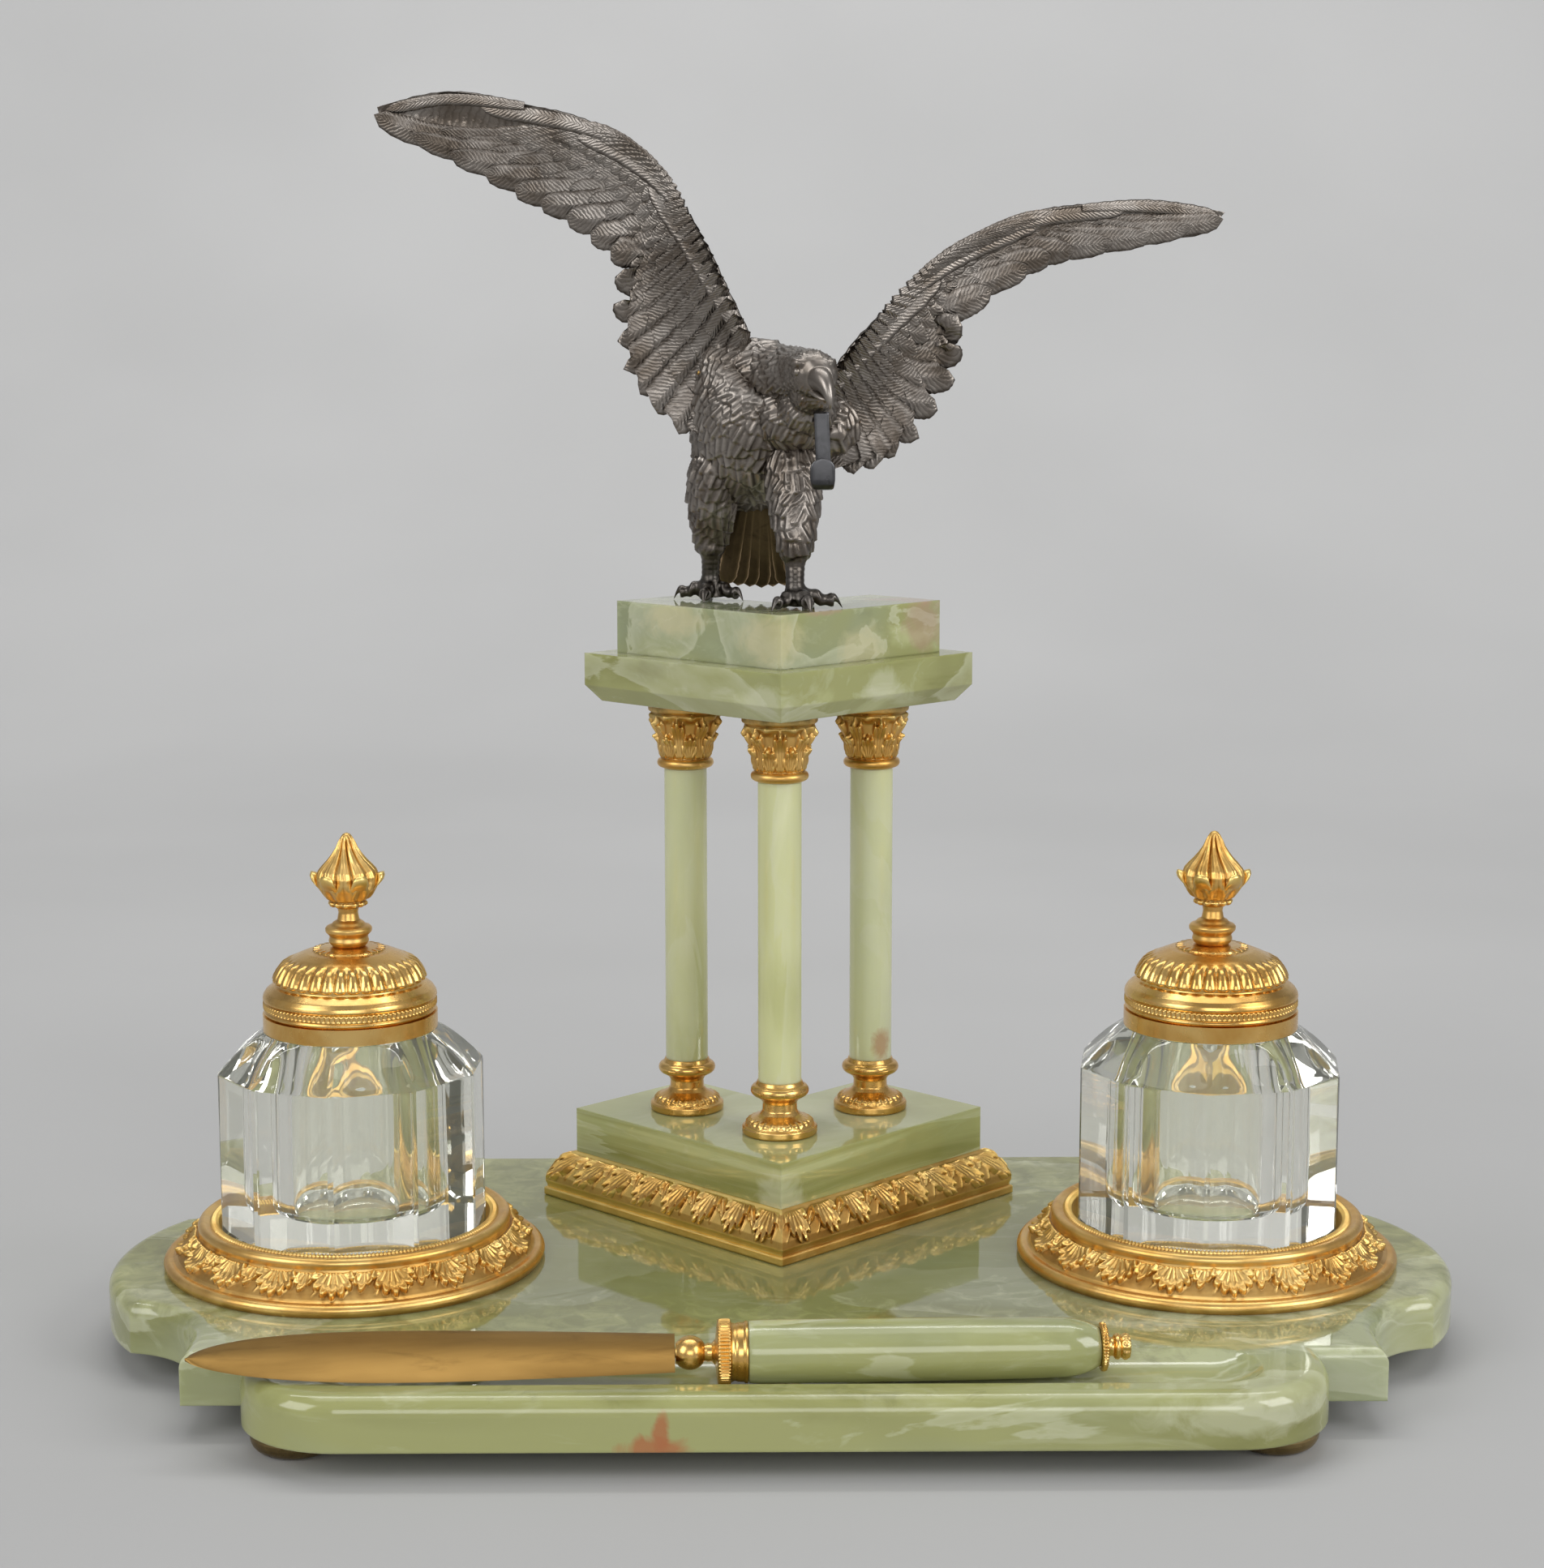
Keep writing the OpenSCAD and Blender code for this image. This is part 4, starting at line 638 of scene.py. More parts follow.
def darkerCapitalTop(material, top):
    # darker green-brown colour and duller gloss at the upper edge of each capital, under the stone
    tree = material.node_tree
    shader = tree.nodes["Principled BSDF"]
    height = addNode(tree, "ShaderNodeSeparateXYZ", {0: addNode(tree, "ShaderNodeTexCoord").outputs["Object"]}).outputs["Z"]
    high = addNode(tree, "ShaderNodeMapRange", {"Value": height, "From Min": top - 0.007, "From Max": top - 0.001})
    patchy = addNode(tree, "ShaderNodeMapRange", {"Value": noise(tree, objectPlace(tree), 90, 4, 0.6), "From Min": 0.42,
                                                  "From Max": 0.60, "To Max": 0.75})
    amount = maths(tree, "MULTIPLY", high.outputs[0], patchy.outputs[0])
    colour = mixed(tree, amount, shader.inputs["Base Color"].links[0].from_socket, srgb(96, 102, 72))
    tree.links.new(colour, shader.inputs["Base Color"])
    dull = maths(tree, "ADD", shader.inputs["Roughness"].links[0].from_socket, maths(tree, "MULTIPLY", amount, 0.3))
    tree.links.new(dull, shader.inputs["Roughness"])


def addColumns():
    h, r = columnWork["base"]["height"], columnWork["base"]["radius"]
    steps = [(0, r - 0.6), (0.02, r - 0.1), (0.045, r), (0.13, r), (0.15, r - 0.15), (0.17, r - 0.8), (0.185, r - 1.0), (0.25, r - 1.6), (0.3, r - 2.9),
             (0.335, r - 4.1), (0.37, r - 5), (0.44, r - 5.9), (0.58, r - 6), (0.64, r - 5.5), (0.68, r - 4.6)]
    profile = refined([(2.3, 0)] + [(q, t * h) for t, q in steps] + arc(r - 4.2, 0.82 * h, 0.11 * h, -70, 80, 12)
                      + [(columnWork["shaftRadius"] + 0.5, h - 0.6), (columnWork["shaftRadius"] + 0.25, h), (2.3, h)], 0.3)

    def tongues(angle, radius, height):
        zone = smoothStep((height - 0.185 * h) / (0.03 * h)) * smoothStep((0.31 * h - height) / (0.04 * h)) * (radius > r - 4)
        return 0.32 * zone * np.abs(np.cos(angle * columnWork["base"]["tongues"] / 2)) ** 1.2

    base = turnedShape(profile, 312, tongues)
    c = columnWork["capital"]
    h, r = c["height"] - 1.3, c["radius"]
    bell = refined([(2.3, 0), (columnWork["shaftRadius"] + 0.4, 0)] + arc(r - 4.4, 0.085 * h, 0.075 * h, -70, 80, 10)
                   + [(r - 4.3, 0.18 * h), (r - 3.9, 0.22 * h), (r - 3.6, 0.5 * h), (r - 2.6, 0.74 * h), (r - 1.7, 0.82 * h), (r - 1.2, 0.86 * h),
                      (r - 1.5, 0.89 * h), (r - 1.0, 0.91 * h), (r - 0.5, 0.93 * h), (r - 0.4, 0.95 * h), (r - 0.4, c["height"]),
                      (2.3, c["height"])], 0.28)

    def leaves(angle, radius, height):
        t = (height / h - 0.17)
        outside = (radius > 6) & (height < 0.9 * h)
        turns = angle / (2 * math.pi) * c["leaves"]

        def tier(shift, top, reach, depth):
            along = t / top
            across = ((turns + shift) - np.floor(turns + shift)) * 2 - 1
            shape = leafFan(across / 1.12, np.clip(along, -0.1, 1.3), 5, 1.05)
            bulge = 0.55 + reach * smoothStep((along - 0.45) / 0.5)
            return shape * bulge * depth * smoothStep((along + 0.02) / 0.05)

        low = tier(0.5, 0.42, 1.0, c["depth"])
        tall = tier(0.0, 0.70, 1.0, c["depth"])
        scroll = 0.9 * np.abs(np.cos(turns * math.pi)) ** 6 * np.exp(-((height / h - 0.84) / 0.05) ** 2)
        return np.maximum(np.maximum(low, tall), scroll) * outside

    capital = turnedShape(bell, 336, leaves)
    darkerCapitalTop(giltCarved, (stand["capitalZ"] + c["height"]) * mm)
    x = stand["columnX"]
    for name, cx, cy, turn in (("left", -x, 0, 10), ("right", x, 0, 35), ("front", 0, -x, 22.5)):
        y = stand["towerY"] + cy
        points, faces = placed(base, cx, y, stand["plinthTop"], turn)
        makePiece("column_base_" + name + "_turned", points, faces, giltPlain, "stand", ["column_base_" + name])
        points, faces = placed(capital, cx, y, stand["capitalZ"], turn)
        makePiece("capital_" + name + "_carved", points, faces, giltCarved, "stand", ["capital_" + name])
    print("column bases and capitals made")


# Domed lids with their finials

lidWork = {"height": 18.5, "radius": 24.3, "wall": 1.5, "ribs": 108, "lobes": 34, "keys": 26}
finialWork = {"height": 32.0, "leaves": 10, "tips": 6}


def hingeBarrel(x, length, radius, back, inner, thick, low):
    # barrel along X behind the lid, with the tab that carries it
    n = 24
    ends = [(x - length / 2, radius * 0.9), (x - length / 2 + 0.25, radius), (x + length / 2 - 0.25, radius), (x + length / 2, radius * 0.9)]
    points = [(px, back + q * math.cos(2 * math.pi * k / n), q * math.sin(2 * math.pi * k / n)) for px, q in ends for k in range(n)]
    faces = gridFaces(4, n, aroundColumns=True).tolist() + [list(range(n))[::-1], list(range(3 * n, 4 * n))]
    w = length / 2
    y0, y1 = inner, back
    tab = [(x - w, y0, low), (x + w, y0, low), (x + w, y1, low), (x - w, y1, low),
           (x - w, y0, low + thick), (x + w, y0, low + thick), (x + w, y1, low + thick), (x - w, y1, low + thick)]
    box = [[0, 3, 2, 1], [4, 5, 6, 7], [0, 1, 5, 4], [1, 2, 6, 5], [2, 3, 7, 6], [3, 0, 4, 7]]
    return joined([(points, faces), (tab, box)])


def lidOut(z):
    t = z / lidWork["height"]
    return lidWork["radius"] * np.interp(t, [0, 0.02, 0.05, 0.08, 0.10, 0.19, 0.21, 0.24, 0.30, 0.36, 0.40, 0.44, 0.455, 0.49, 0.52, 0.58, 0.65, 0.72,
                                             0.78, 0.83, 0.875, 0.91],
                                         [0.955, 0.975, 0.985, 0.97, 0.992, 0.992, 0.965, 0.995, 0.985, 0.955, 0.915, 0.875, 0.845, 0.84, 0.855, 0.84, 0.81, 0.77,
                                          0.722, 0.665, 0.595, 0.53])


def addLids():
    c = lidWork
    h, top = c["height"], 0.91 * c["height"]
    outer = [(float(lidOut(z)), z) for z in np.linspace(0, top, 70)]
    outer += [(11.9, 0.93 * h), (10.2, 0.945 * h), (9.8, 0.968 * h), (8.2, 0.985 * h), (6.6, h), (2.2, h)]
    inner = [(2.2, h - 1.9), (12.0, 0.96 * h - 2.1)] + [(float(lidOut(min(z + 0.6, top))) - c["wall"], z)
                                                       for z in np.linspace(top - c["wall"], 0, 30)]
    profile = refined(outer, 0.28, closed=False).tolist() + refined(inner, 0.8, closed=False).tolist()

    def relief(angle, radius, height):
        t = height / h
        outside = radius > np.where(t < 0.9, lidOut(height) - 0.8, 5)
        ribs = -0.45 * (np.cos(angle * c["ribs"]) * 0.5 + 0.5) * smoothStep((t - 0.095) / 0.02) * smoothStep((0.205 - t) / 0.02)
        s = (t - 0.49) / 0.37
        wide = np.clip(1.04 - 0.30 * np.clip(s, 0, 1) ** 1.5, 0.2, 1.1) * np.sqrt(np.clip(s * 9, 0, 1))
        across = np.abs((angle / (2 * math.pi) * c["lobes"]) % 1 - 0.5) * 2
        lobe = np.clip(1 - (across / np.maximum(wide, 0.05)) ** 2, 0, 1) * smoothStep(s / 0.10) * smoothStep((1.0 - s) / 0.35)
        key = 0.16 * (np.cos(angle * c["keys"]) > 0.1) * smoothStep((t - 0.95) / 0.008) * smoothStep((0.99 - t) / 0.008) * (radius > 7)
        return (ribs + 1.0 * lobe - 0.3 * smoothStep(s / 0.12) * smoothStep((1 - s) / 0.3) + key) * outside

    shell = turnedShape(np.array(profile), 864, relief)
    barrel = hingeBarrel(0, 6, 2.2, stand["hingeBack"], 22.2, 1.7, 0.3)
    lid = joined([shell, barrel])

    f = finialWork
    table = [(0, 4.4), (0.02, 5.1), (0.05, 5.6), (0.09, 5.3), (0.105, 5.6), (0.13, 6.4), (0.16, 6.5), (0.18, 6.0), (0.19, 4.9), (0.215, 4.2), (0.235, 3.1), (0.30, 2.7),
             (0.345, 3.0), (0.36, 4.4), (0.375, 5.2), (0.39, 5.2), (0.40, 4.4), (0.43, 5.4), (0.47, 6.4), (0.52, 7.5), (0.57, 8.1), (0.62, 8.3),
             (0.67, 7.7), (0.71, 6.6), (0.75, 5.3), (0.80, 4.0), (0.86, 2.7), (0.92, 1.9), (0.965, 1.5), (0.99, 1.0), (1.0, 0.05)]
    heights, radii = zip(*table)
    steps = np.linspace(0, 1, 150)
    bud = [(0.05, -2.4), (1.9, -2.4), (1.9, -0.1)] + list(zip(np.interp(steps, heights, radii), steps * f["height"]))

    def flames(angle, radius, height):
        t = height / f["height"]
        swirl = angle + 1.6 * np.clip(t - 0.62, 0, 1) ** 1.5
        cup = 0.75 * np.abs(np.cos(angle * f["leaves"] / 2)) ** 1.5 * smoothStep((t - 0.40) / 0.05) * smoothStep((0.60 - t) / 0.08)
        leaf = np.abs(np.sin(swirl * f["leaves"] / 2))
        veins = 0.2 * np.abs(np.sin(swirl * f["leaves"] * 2))
        flame = (-1.1 * (1 - leaf) ** 2 + 0.3 * leaf + veins) * smoothStep((t - 0.48) / 0.08) * smoothStep((0.985 - t) / 0.08)
        beads = 0.5 * (np.abs(np.cos(angle * 6)) ** 2 - 0.4) * smoothStep((t - 0.352) / 0.01) * smoothStep((0.402 - t) / 0.01)
        return cup + flame + beads

    turnedBud = turnedShape(np.array(bud), 192, flames, closed=False)
    tips = []
    for k in range(f["tips"]):
        # small curled tips that stand out from the bud
        a = 2 * math.pi * k / f["tips"]
        path = [(6.4, 0.48), (7.8, 0.525), (8.7, 0.56), (9.2, 0.60), (9.1, 0.635), (8.3, 0.64)]
        sizes = [2.4, 2.8, 2.8, 2.5, 2.1, 1.1]
        rows = []
        for (q, t), size in zip(path, sizes):
            for j in range(10):
                b = 2 * math.pi * j / 10
                radial, side, up = q + 0.5 * size * math.cos(b), size * 0.95 * math.sin(b), t * f["height"] + 0.4 * size * math.cos(b)
                rows.append((radial * math.cos(a) - side * math.sin(a), radial * math.sin(a) + side * math.cos(a), up))
        tips.append((rows, gridFaces(6, 10, aroundColumns=True).tolist() + [list(range(10))[::-1], list(range(50, 60))]))
    finial = joined([turnedBud] + tips)
    for side, name, body in ((-1, "left", "left_cover"), (1, "right", "right_cover")):
        x, y, z = side * stand["wellX"], stand["wellY"], stand["rimZ"]
        points, faces = placed(lid, x, y, z)
        makePiece(name + "_lid_chased", points, faces, giltPlain, body, [name + "_lid"], sharp=75)
        points, faces = placed(finial, x, y, z + h, turn=0)
        makePiece(name + "_finial_leaves", points, faces, giltCarved, body, [name + "_finial"])
    print("lids and finials made")


addRings()
addMoulding()
addColumns()
addLids()



# Glass bottles: ten flats with narrow bevels, scooped shoulder facets and a blown well inside

bottleWork = {"radius": 37.4, "height": 56.0, "shoulder": 11.0, "top": 24.6, "neck": 22.6, "neckTop": 70.9, "well": 17.0,
              "floor": 16.5, "recess": 11.0, "foot": 34.5, "bevel": 0.035, "turns": {"left": 16, "right": 9}}


def bottleRing(radius, height, turn, round=0.0, dish=0.0, per=12):
    # one level of the bottle: a ten-sided outline with bevelled corners, drawn towards a circle by round
    w = bottleWork["bevel"]
    ring = []
    for side in range(10):
        for k in range(per):
            f = w + (1 - 2 * w) * k / (per - 1)
            a0, a1 = math.radians(36 * side + turn), math.radians(36 * (side + 1) + turn)
            x = radius * (math.cos(a0) * (1 - f) + math.cos(a1) * f)
            y = radius * (math.sin(a0) * (1 - f) + math.sin(a1) * f)
            flat, angle = math.hypot(x, y), math.atan2(y, x)
            r = flat + (radius * 0.972 - flat) * round - dish * math.sin(math.pi * f)
            ring.append((r * math.cos(angle), r * math.sin(angle), height))
    return ring


def addBottles():
    c = bottleWork
    r, h, n = c["radius"], c["height"], 120
    for side, name in ((-1, "left"), (1, "right")):
        turn = c["turns"][name]
        # ground hollow under the base, so the bottle stands on a narrow rim
        rings = [bottleRing(q, z, turn, round=e) for q, z, e in ((1.0, c["recess"], 1), (16, c["recess"], 1), (c["foot"] - 1.5, c["recess"], 0.3),
                                                                (c["foot"] - 0.4, c["recess"] - 0.6, 0), (c["foot"], 0.5, 0), (c["foot"] + 0.3, 0.15, 0))]
        rings += [bottleRing(r - 1.2, 0.15, turn), bottleRing(r - 0.5, 0.35, turn), bottleRing(r - 0.1, 0.9, turn), bottleRing(r, 1.5, turn)]
        rings += [bottleRing(r, z, turn) for z in (h * 0.33, h * 0.66, h - 0.5)]
        rings.append(bottleRing(r - 0.1, h, turn))
        for t in np.linspace(0.03, 0.97, 12):
            rings.append(bottleRing(r - (r - c["top"]) * t, h + c["shoulder"] * (0.6 * t + 0.4 * math.sin(math.pi * t / 2)), turn,
                                    round=0.9 * t ** 3, dish=0.7 * math.sin(math.pi * t)))
        rings.append([(c["top"] * math.cos(a) * 0.985, c["top"] * math.sin(a) * 0.985, h + c["shoulder"] + 0.05)
                      for a in [math.atan2(p[1], p[0]) for p in rings[-1]]])
        angles = [math.atan2(p[1], p[0]) for p in rings[-1]]
        inner = [(c["neck"] + 0.6, h + c["shoulder"] + 0.1), (c["neck"], h + c["shoulder"] + 0.6), (c["neck"], c["neckTop"] - 0.5),
                 (c["neck"] - 0.5, c["neckTop"]), (c["well"] + 0.8, c["neckTop"]), (c["well"], c["neckTop"] - 0.7)]
        inner += [(c["well"], z) for z in (55, 38, 22)]
        inner += [(c["well"] - 3 + 3 * math.cos(math.radians(a)), c["floor"] + 3 + 3 * math.sin(math.radians(a))) for a in (0, -22, -45, -68, -90)]
        inner += [(8.0, c["floor"] - 0.1), (4.0, c["floor"] - 0.2), (0.6, c["floor"] - 0.25)]
        rings += [[(q * math.cos(a), q * math.sin(a), z) for a in angles] for q, z in inner]
        count = len(rings)
        faces = gridFaces(count, n, aroundColumns=True).tolist()
        faces += [list(range(n))[::-1], list(range((count - 1) * n, count * n))]
        points, faces = placed((rings, faces), side * stand["wellX"], stand["wellY"], stand["top"])
        makePiece(name + "_bottle_cut", points, faces, glass, name + "_well", [name + "_bottle"], sharp=14)
    print("bottles cut")


# Paper knife, along X from the ferrule; it lies turned a little in the trough with its blade tilted

knifeWork = {"at": (0, -86, 26), "turn": 1.8, "tilt": 20, "heel": -28.0, "blade": 122.8, "width": 21.0, "thick": 2.6,
             "handle": 89.3, "teeth": 54, "mill": 8.4}


def alongX(shape, x, angle=0.0):
    # a shape turned about Z laid down so that it runs along X
    return placed(shape, x, 0, 0, tip=Matrix.Rotation(math.radians(angle), 4, "X") @ Matrix.Rotation(math.radians(90), 4, "Y"))


def addKnife():
    c = knifeWork
    n, m = 120, 20
    rows = []
    for i in range(n + 1):
        t = i / n
        wide = c["width"] / 2 * (0.72 + 0.28 * math.sin(math.radians(min(90, 120 * t))))
        up, low = wide * max(0, 1 - t ** 7) ** 0.6, wide * max(0, 1 - t ** 5) ** 0.7
        x = c["heel"] - c["blade"] * t
        thick = c["thick"] / 2 * (1 - 0.6 * t ** 4)
        edge = 0.22 + 0.14 * (1 - t)
        ring = []
        for k in range(m):
            a = 2 * math.pi * k / m
            across = math.cos(a)
            y = across * (up if across > 0 else low)
            swell = math.copysign(abs(math.sin(a)) ** 0.8, math.sin(a))
            z = swell * (edge + (thick - edge) * (1 - abs(across) ** 1.7))
            ring.append((x, y if abs(y) > 0.05 else 0.05 * across, z))
        rows.append(ring)
    blade = (rows, [f[::-1] for f in gridFaces(n + 1, m, aroundColumns=True).tolist()] + [list(range(m)), list(range(n * m, (n + 1) * m))[::-1]])
    tang = turnedShape([(0.05, 0), (1.2, 0), (1.2, c["handle"] + 18.4), (0.05, c["handle"] + 18.4)], 24, closed=False)
    turned = Matrix.Rotation(math.radians(c["turn"]), 4, "Z")

    def lay(shape, tilt=0.0):
        tip = turned @ Matrix.Rotation(math.radians(tilt), 4, "X")
        return placed(shape, *c["at"], tip=tip)

    points, faces = lay(blade, c["tilt"])
    rodPoints, rodFaces = lay(alongX(tang, c["heel"] - 1))
    points, faces = joined([(points, faces), (rodPoints, rodFaces)])
    makePiece("knife_blade_satin", points, faces, bladeBrass, "paper_knife", ["knife_blade"], sharp=40)

    ball = refined([(1.36, 0.2), (2.6, 0.2)] + arc(0, 3.8, 4.3, -50, 60, 16) + [(2.35, 8.3), (2.3, 9.3), (2.7, 9.6), (3.4, 10.2), (6.4, 10.5),
                    (8.0, 10.75), (c["mill"] - 0.1, 11.0), (c["mill"], 11.3), (c["mill"], 13.7), (c["mill"] - 0.15, 13.95), (7.4, 14.3), (7.1, 15.1),
                    (7.4, 16.0), (7.4, 17.3), (7.8, 17.8), (7.8, 18.35), (1.36, 18.35)], 0.4)

    def milled(angle, radius, height):
        zone = smoothStep((height - 11.0) / 0.25) * smoothStep((14.0 - height) / 0.25) * (radius > 7.6)
        return -0.45 * zone * (0.5 + 0.5 * np.cos(angle * c["teeth"])) ** 1.5

    points, faces = lay(alongX(turnedShape(ball, 432, milled), c["heel"]))
    makePiece("knife_ferrule_milled", points, faces, giltPlain, "paper_knife", ["knife_ferrule"], sharp=55)
    knob = refined([(0.05, 0.05), (5.6, 0.05), (6.15, 0.4), (6.2, 0.7), (6.2, 1.2), (6.0, 1.6), (5.2, 1.9), (2.7, 2.2), (2.4, 2.8), (2.4, 3.4), (3.1, 3.9),
                    (3.3, 4.4), (3.25, 4.9), (2.75, 5.4), (3.1, 5.8), (3.4, 6.4), (3.35, 7.0), (3.0, 7.6), (2.0, 7.9), (0.05, 8.0)], 0.3, closed=False)

    def notched(angle, radius, height):
        disc = smoothStep((height - 0.3) / 0.2) * smoothStep((1.7 - height) / 0.3) * (radius > 5.4)
        cup = smoothStep((height - 5.6) / 0.4) * smoothStep((7.7 - height) / 0.5)
        return -0.35 * disc * (0.5 + 0.5 * np.cos(angle * 44)) - 0.22 * cup * (0.5 + 0.5 * np.cos(angle * 12))

    grip = [(1.36, 0.05), (7.3, 0.05), (7.7, 0.3), (7.85, 0.9), (7.95, 3), (7.98, 12), (7.98, 30), (7.9, 55), (7.72, 72), (7.5, 79)]
    grip += [(7.5 - 2.6 * (k / 8) ** 2.2, 79 + 10.2 * k / 8) for k in range(1, 9)] + [(4.5, c["handle"]), (1.36, c["handle"])]
    points, faces = lay(alongX(turnedShape(refined(grip, 1.5), 96), c["heel"] + 18.4))
    makePiece("knife_handle_rounded", points, faces, nodes["knife_handle"].data.materials[0], "paper_knife", ["knife_handle"], sharp=40)
    points, faces = lay(alongX(turnedShape(knob, 264, notched, closed=False), c["heel"] + 18.4 + c["handle"]))
    makePiece("knife_button_milled", points, faces, giltPlain, "paper_knife", ["knife_button"], sharp=50)
    print("knife made")


addBottles()
addKnife()


# The bird; its own sizes are in mm from the middle of the top block's upper face

bird = {
    "leadLeft": [(-9, 79), (-15, 92.5), (-20.5, 105), (-26, 114.5), (-34, 125), (-44, 133.5), (-58, 140.5), (-76, 145), (-97, 148), (-119, 143)],
    "trailLeft": [(-22, 48), (-35, 55), (-42, 66), (-45, 80), (-44.5, 96), (-53, 105.5), (-66, 113.5), (-80, 121.5), (-98, 130.5), (-118, 141)],
    "leadRight": [(12, 62), (19, 72.5), (26, 81.5), (38, 93), (51, 102.5), (71, 111.5), (87, 115), (111, 116.5), (134, 113)],
    "trailRight": [(18, 40), (29, 41), (39, 50), (49, 66), (51, 82), (72, 96.5), (86, 101.5), (110, 106), (131.5, 111)],
    "sweep": 35, "camber": 3.5, "voxel": 0.45, "relief": 1.3,
    "box": {"Left": ((-127.5, -60, 20), (-2, 40, 148.0)), "Right": ((2, -60, 20), (141, 40, 147.8))}}
# rows of wing feathers: how many, where they start and end between the leading edge (0) and the trailing edge (1),
# half width at the root and tip of the wing, distance in front of the wing's middle, and how thick
featherRows = [
    {"count": 17, "start": 0.14, "end": 1.0, "half": (5.2, 3.6), "lift": 0.5, "thick": 1.0, "reach": 1.0, "root": 0.50},
    {"count": 20, "start": 0.08, "end": 0.74, "half": (4.2, 3.0), "lift": 1.2, "thick": 0.8, "reach": 0.90, "root": 0.60},
    {"count": 24, "start": 0.05, "end": 0.52, "half": (3.4, 2.4), "lift": 1.8, "thick": 0.8, "reach": 0.80, "root": 0.70},
    {"count": 26, "start": 0.03, "end": 0.34, "half": (2.8, 1.8), "lift": 2.3, "thick": 0.7, "reach": 0.70, "root": 0.78},
]
# smooth plates along the leading edge: from, to along the wing, half width, thickness
edgePlates = [(0.00, 0.46, 3.6, 2.6), (0.36, 0.66, 3.1, 2.2), (0.58, 0.83, 2.6, 1.8), (0.76, 0.97, 2.0, 1.4)]


def through(points, t):
    # smooth line through the points, t from 0 to 1
    p = np.asarray(points, float)
    n = len(p) - 1
    x = np.clip(np.asarray(t, float), 0, 1) * n
    i = np.minimum(n - 1, np.floor(x).astype(int))
    u = (x - i)[..., None]
    a, b, c, d = p[np.maximum(0, i - 1)], p[i], p[i + 1], p[np.minimum(n, i + 2)]
    return b + 0.5 * u * (c - a + u * (2 * a - 5 * b + 4 * c - d + u * (3 * (b - c) + d - a)))


def wingPoint(side, t, u):
    lead, trail = through(bird["lead" + side], t), through(bird["trail" + side], t)
    xz = lead + (trail - lead) * np.asarray(u, float)[..., None]
    width = np.linalg.norm(trail - lead, axis=-1)
    y = -20 + bird["sweep"] * np.abs(xz[..., 0] - 3) / 120 + bird["camber"] * np.sin(math.pi * np.asarray(u)) * np.minimum(1, width / 20)
    return np.stack([xz[..., 0], y, xz[..., 1]], -1)


def featherBlade(path, half, thick, lean, front, lift, seed, long=24, wide=11, shaft=0.34, blunt=0.84):
    # one feather as a thin closed blade: rounded tip, raised shaft, one edge tucked under its neighbour
    s = np.linspace(0, 1, long) ** 0.85
    path = through(path, s)
    j = np.linspace(-1, 1, wide)
    along = np.gradient(path, axis=0)
    along /= np.maximum(np.linalg.norm(along, axis=1), 1e-6)[:, None]
    side = np.stack([along[:, 2], 0 * s, -along[:, 0]], 1)
    side /= np.maximum(np.linalg.norm(side, axis=1), 1e-6)[:, None]
    rng = np.random.default_rng(seed)
    body = half * (0.62 + 0.38 * np.clip(s / 0.45, 0, 1) ** 0.8)
    tip = np.sqrt(np.clip(1 - (np.clip(s - blunt, 0, 1) / (1 - blunt)) ** 2.2, 0, 1))
    width = body * np.maximum(tip, 0.03)
    S, J = np.meshgrid(s, j, indexing="ij")
    nick = 1 - 0.16 * rng.uniform(0, 1) * np.exp(-((S - rng.uniform(0.6, 0.9)) / 0.025) ** 2) * (J > 0) - 0.05 * np.sin(S * 60 + seed) * np.abs(J)
    centre = path[:, None, :] + side[:, None, :] * (width[:, None] * nick * J)[..., None]
    swell = np.sqrt(np.clip(1 - J ** 2, 0, 1)) * np.maximum(tip, 0.2)[:, None]
    ridge = shaft * np.exp(-(J / 0.16) ** 2) * (1 - 0.6 * S) * np.maximum(tip, 0)[:, None]
    curl = 0.4 * S ** 6
    face = lift + 0.5 * thick * swell * (1 - 0.3 * S) + ridge + lean * J + curl
    back = lift - 0.5 * thick * swell * (1 - 0.3 * S) - 0.5 * ridge + lean * J + curl
    sign = -1 if front else 1
    upper, lower = centre.copy(), centre.copy()
    upper[..., 1] += sign * face
    lower[..., 1] += sign * back
    n = long * wide
    faces = gridFaces(long, wide)
    top = faces if front else faces[:, ::-1]
    under = (faces[:, ::-1] if front else faces) + n
    rim = []
    edge = ([(i, 0) for i in range(long)] + [(long - 1, k) for k in range(1, wide)] + [(i, wide - 1) for i in range(long - 2, -1, -1)]
            + [(0, k) for k in range(wide - 2, 0, -1)])
    for (a, b), (c, d) in zip(edge, edge[1:] + edge[:1]):
        quad = [a * wide + b, c * wide + d, n + c * wide + d, n + a * wide + b]
        rim.append(quad[::-1] if front else quad)
    length = np.concatenate([[0], np.cumsum(np.linalg.norm(np.diff(path, axis=0), axis=1))])
    uv = np.stack([np.broadcast_to(length[:, None] / 10 + (seed % 97) * 0.37, J.shape), J + 0 * S], -1).reshape(-1, 2)
    points = np.concatenate([upper.reshape(-1, 3), lower.reshape(-1, 3)])
    return points, np.vstack([top, under]).tolist() + rim, np.vstack([uv, uv])


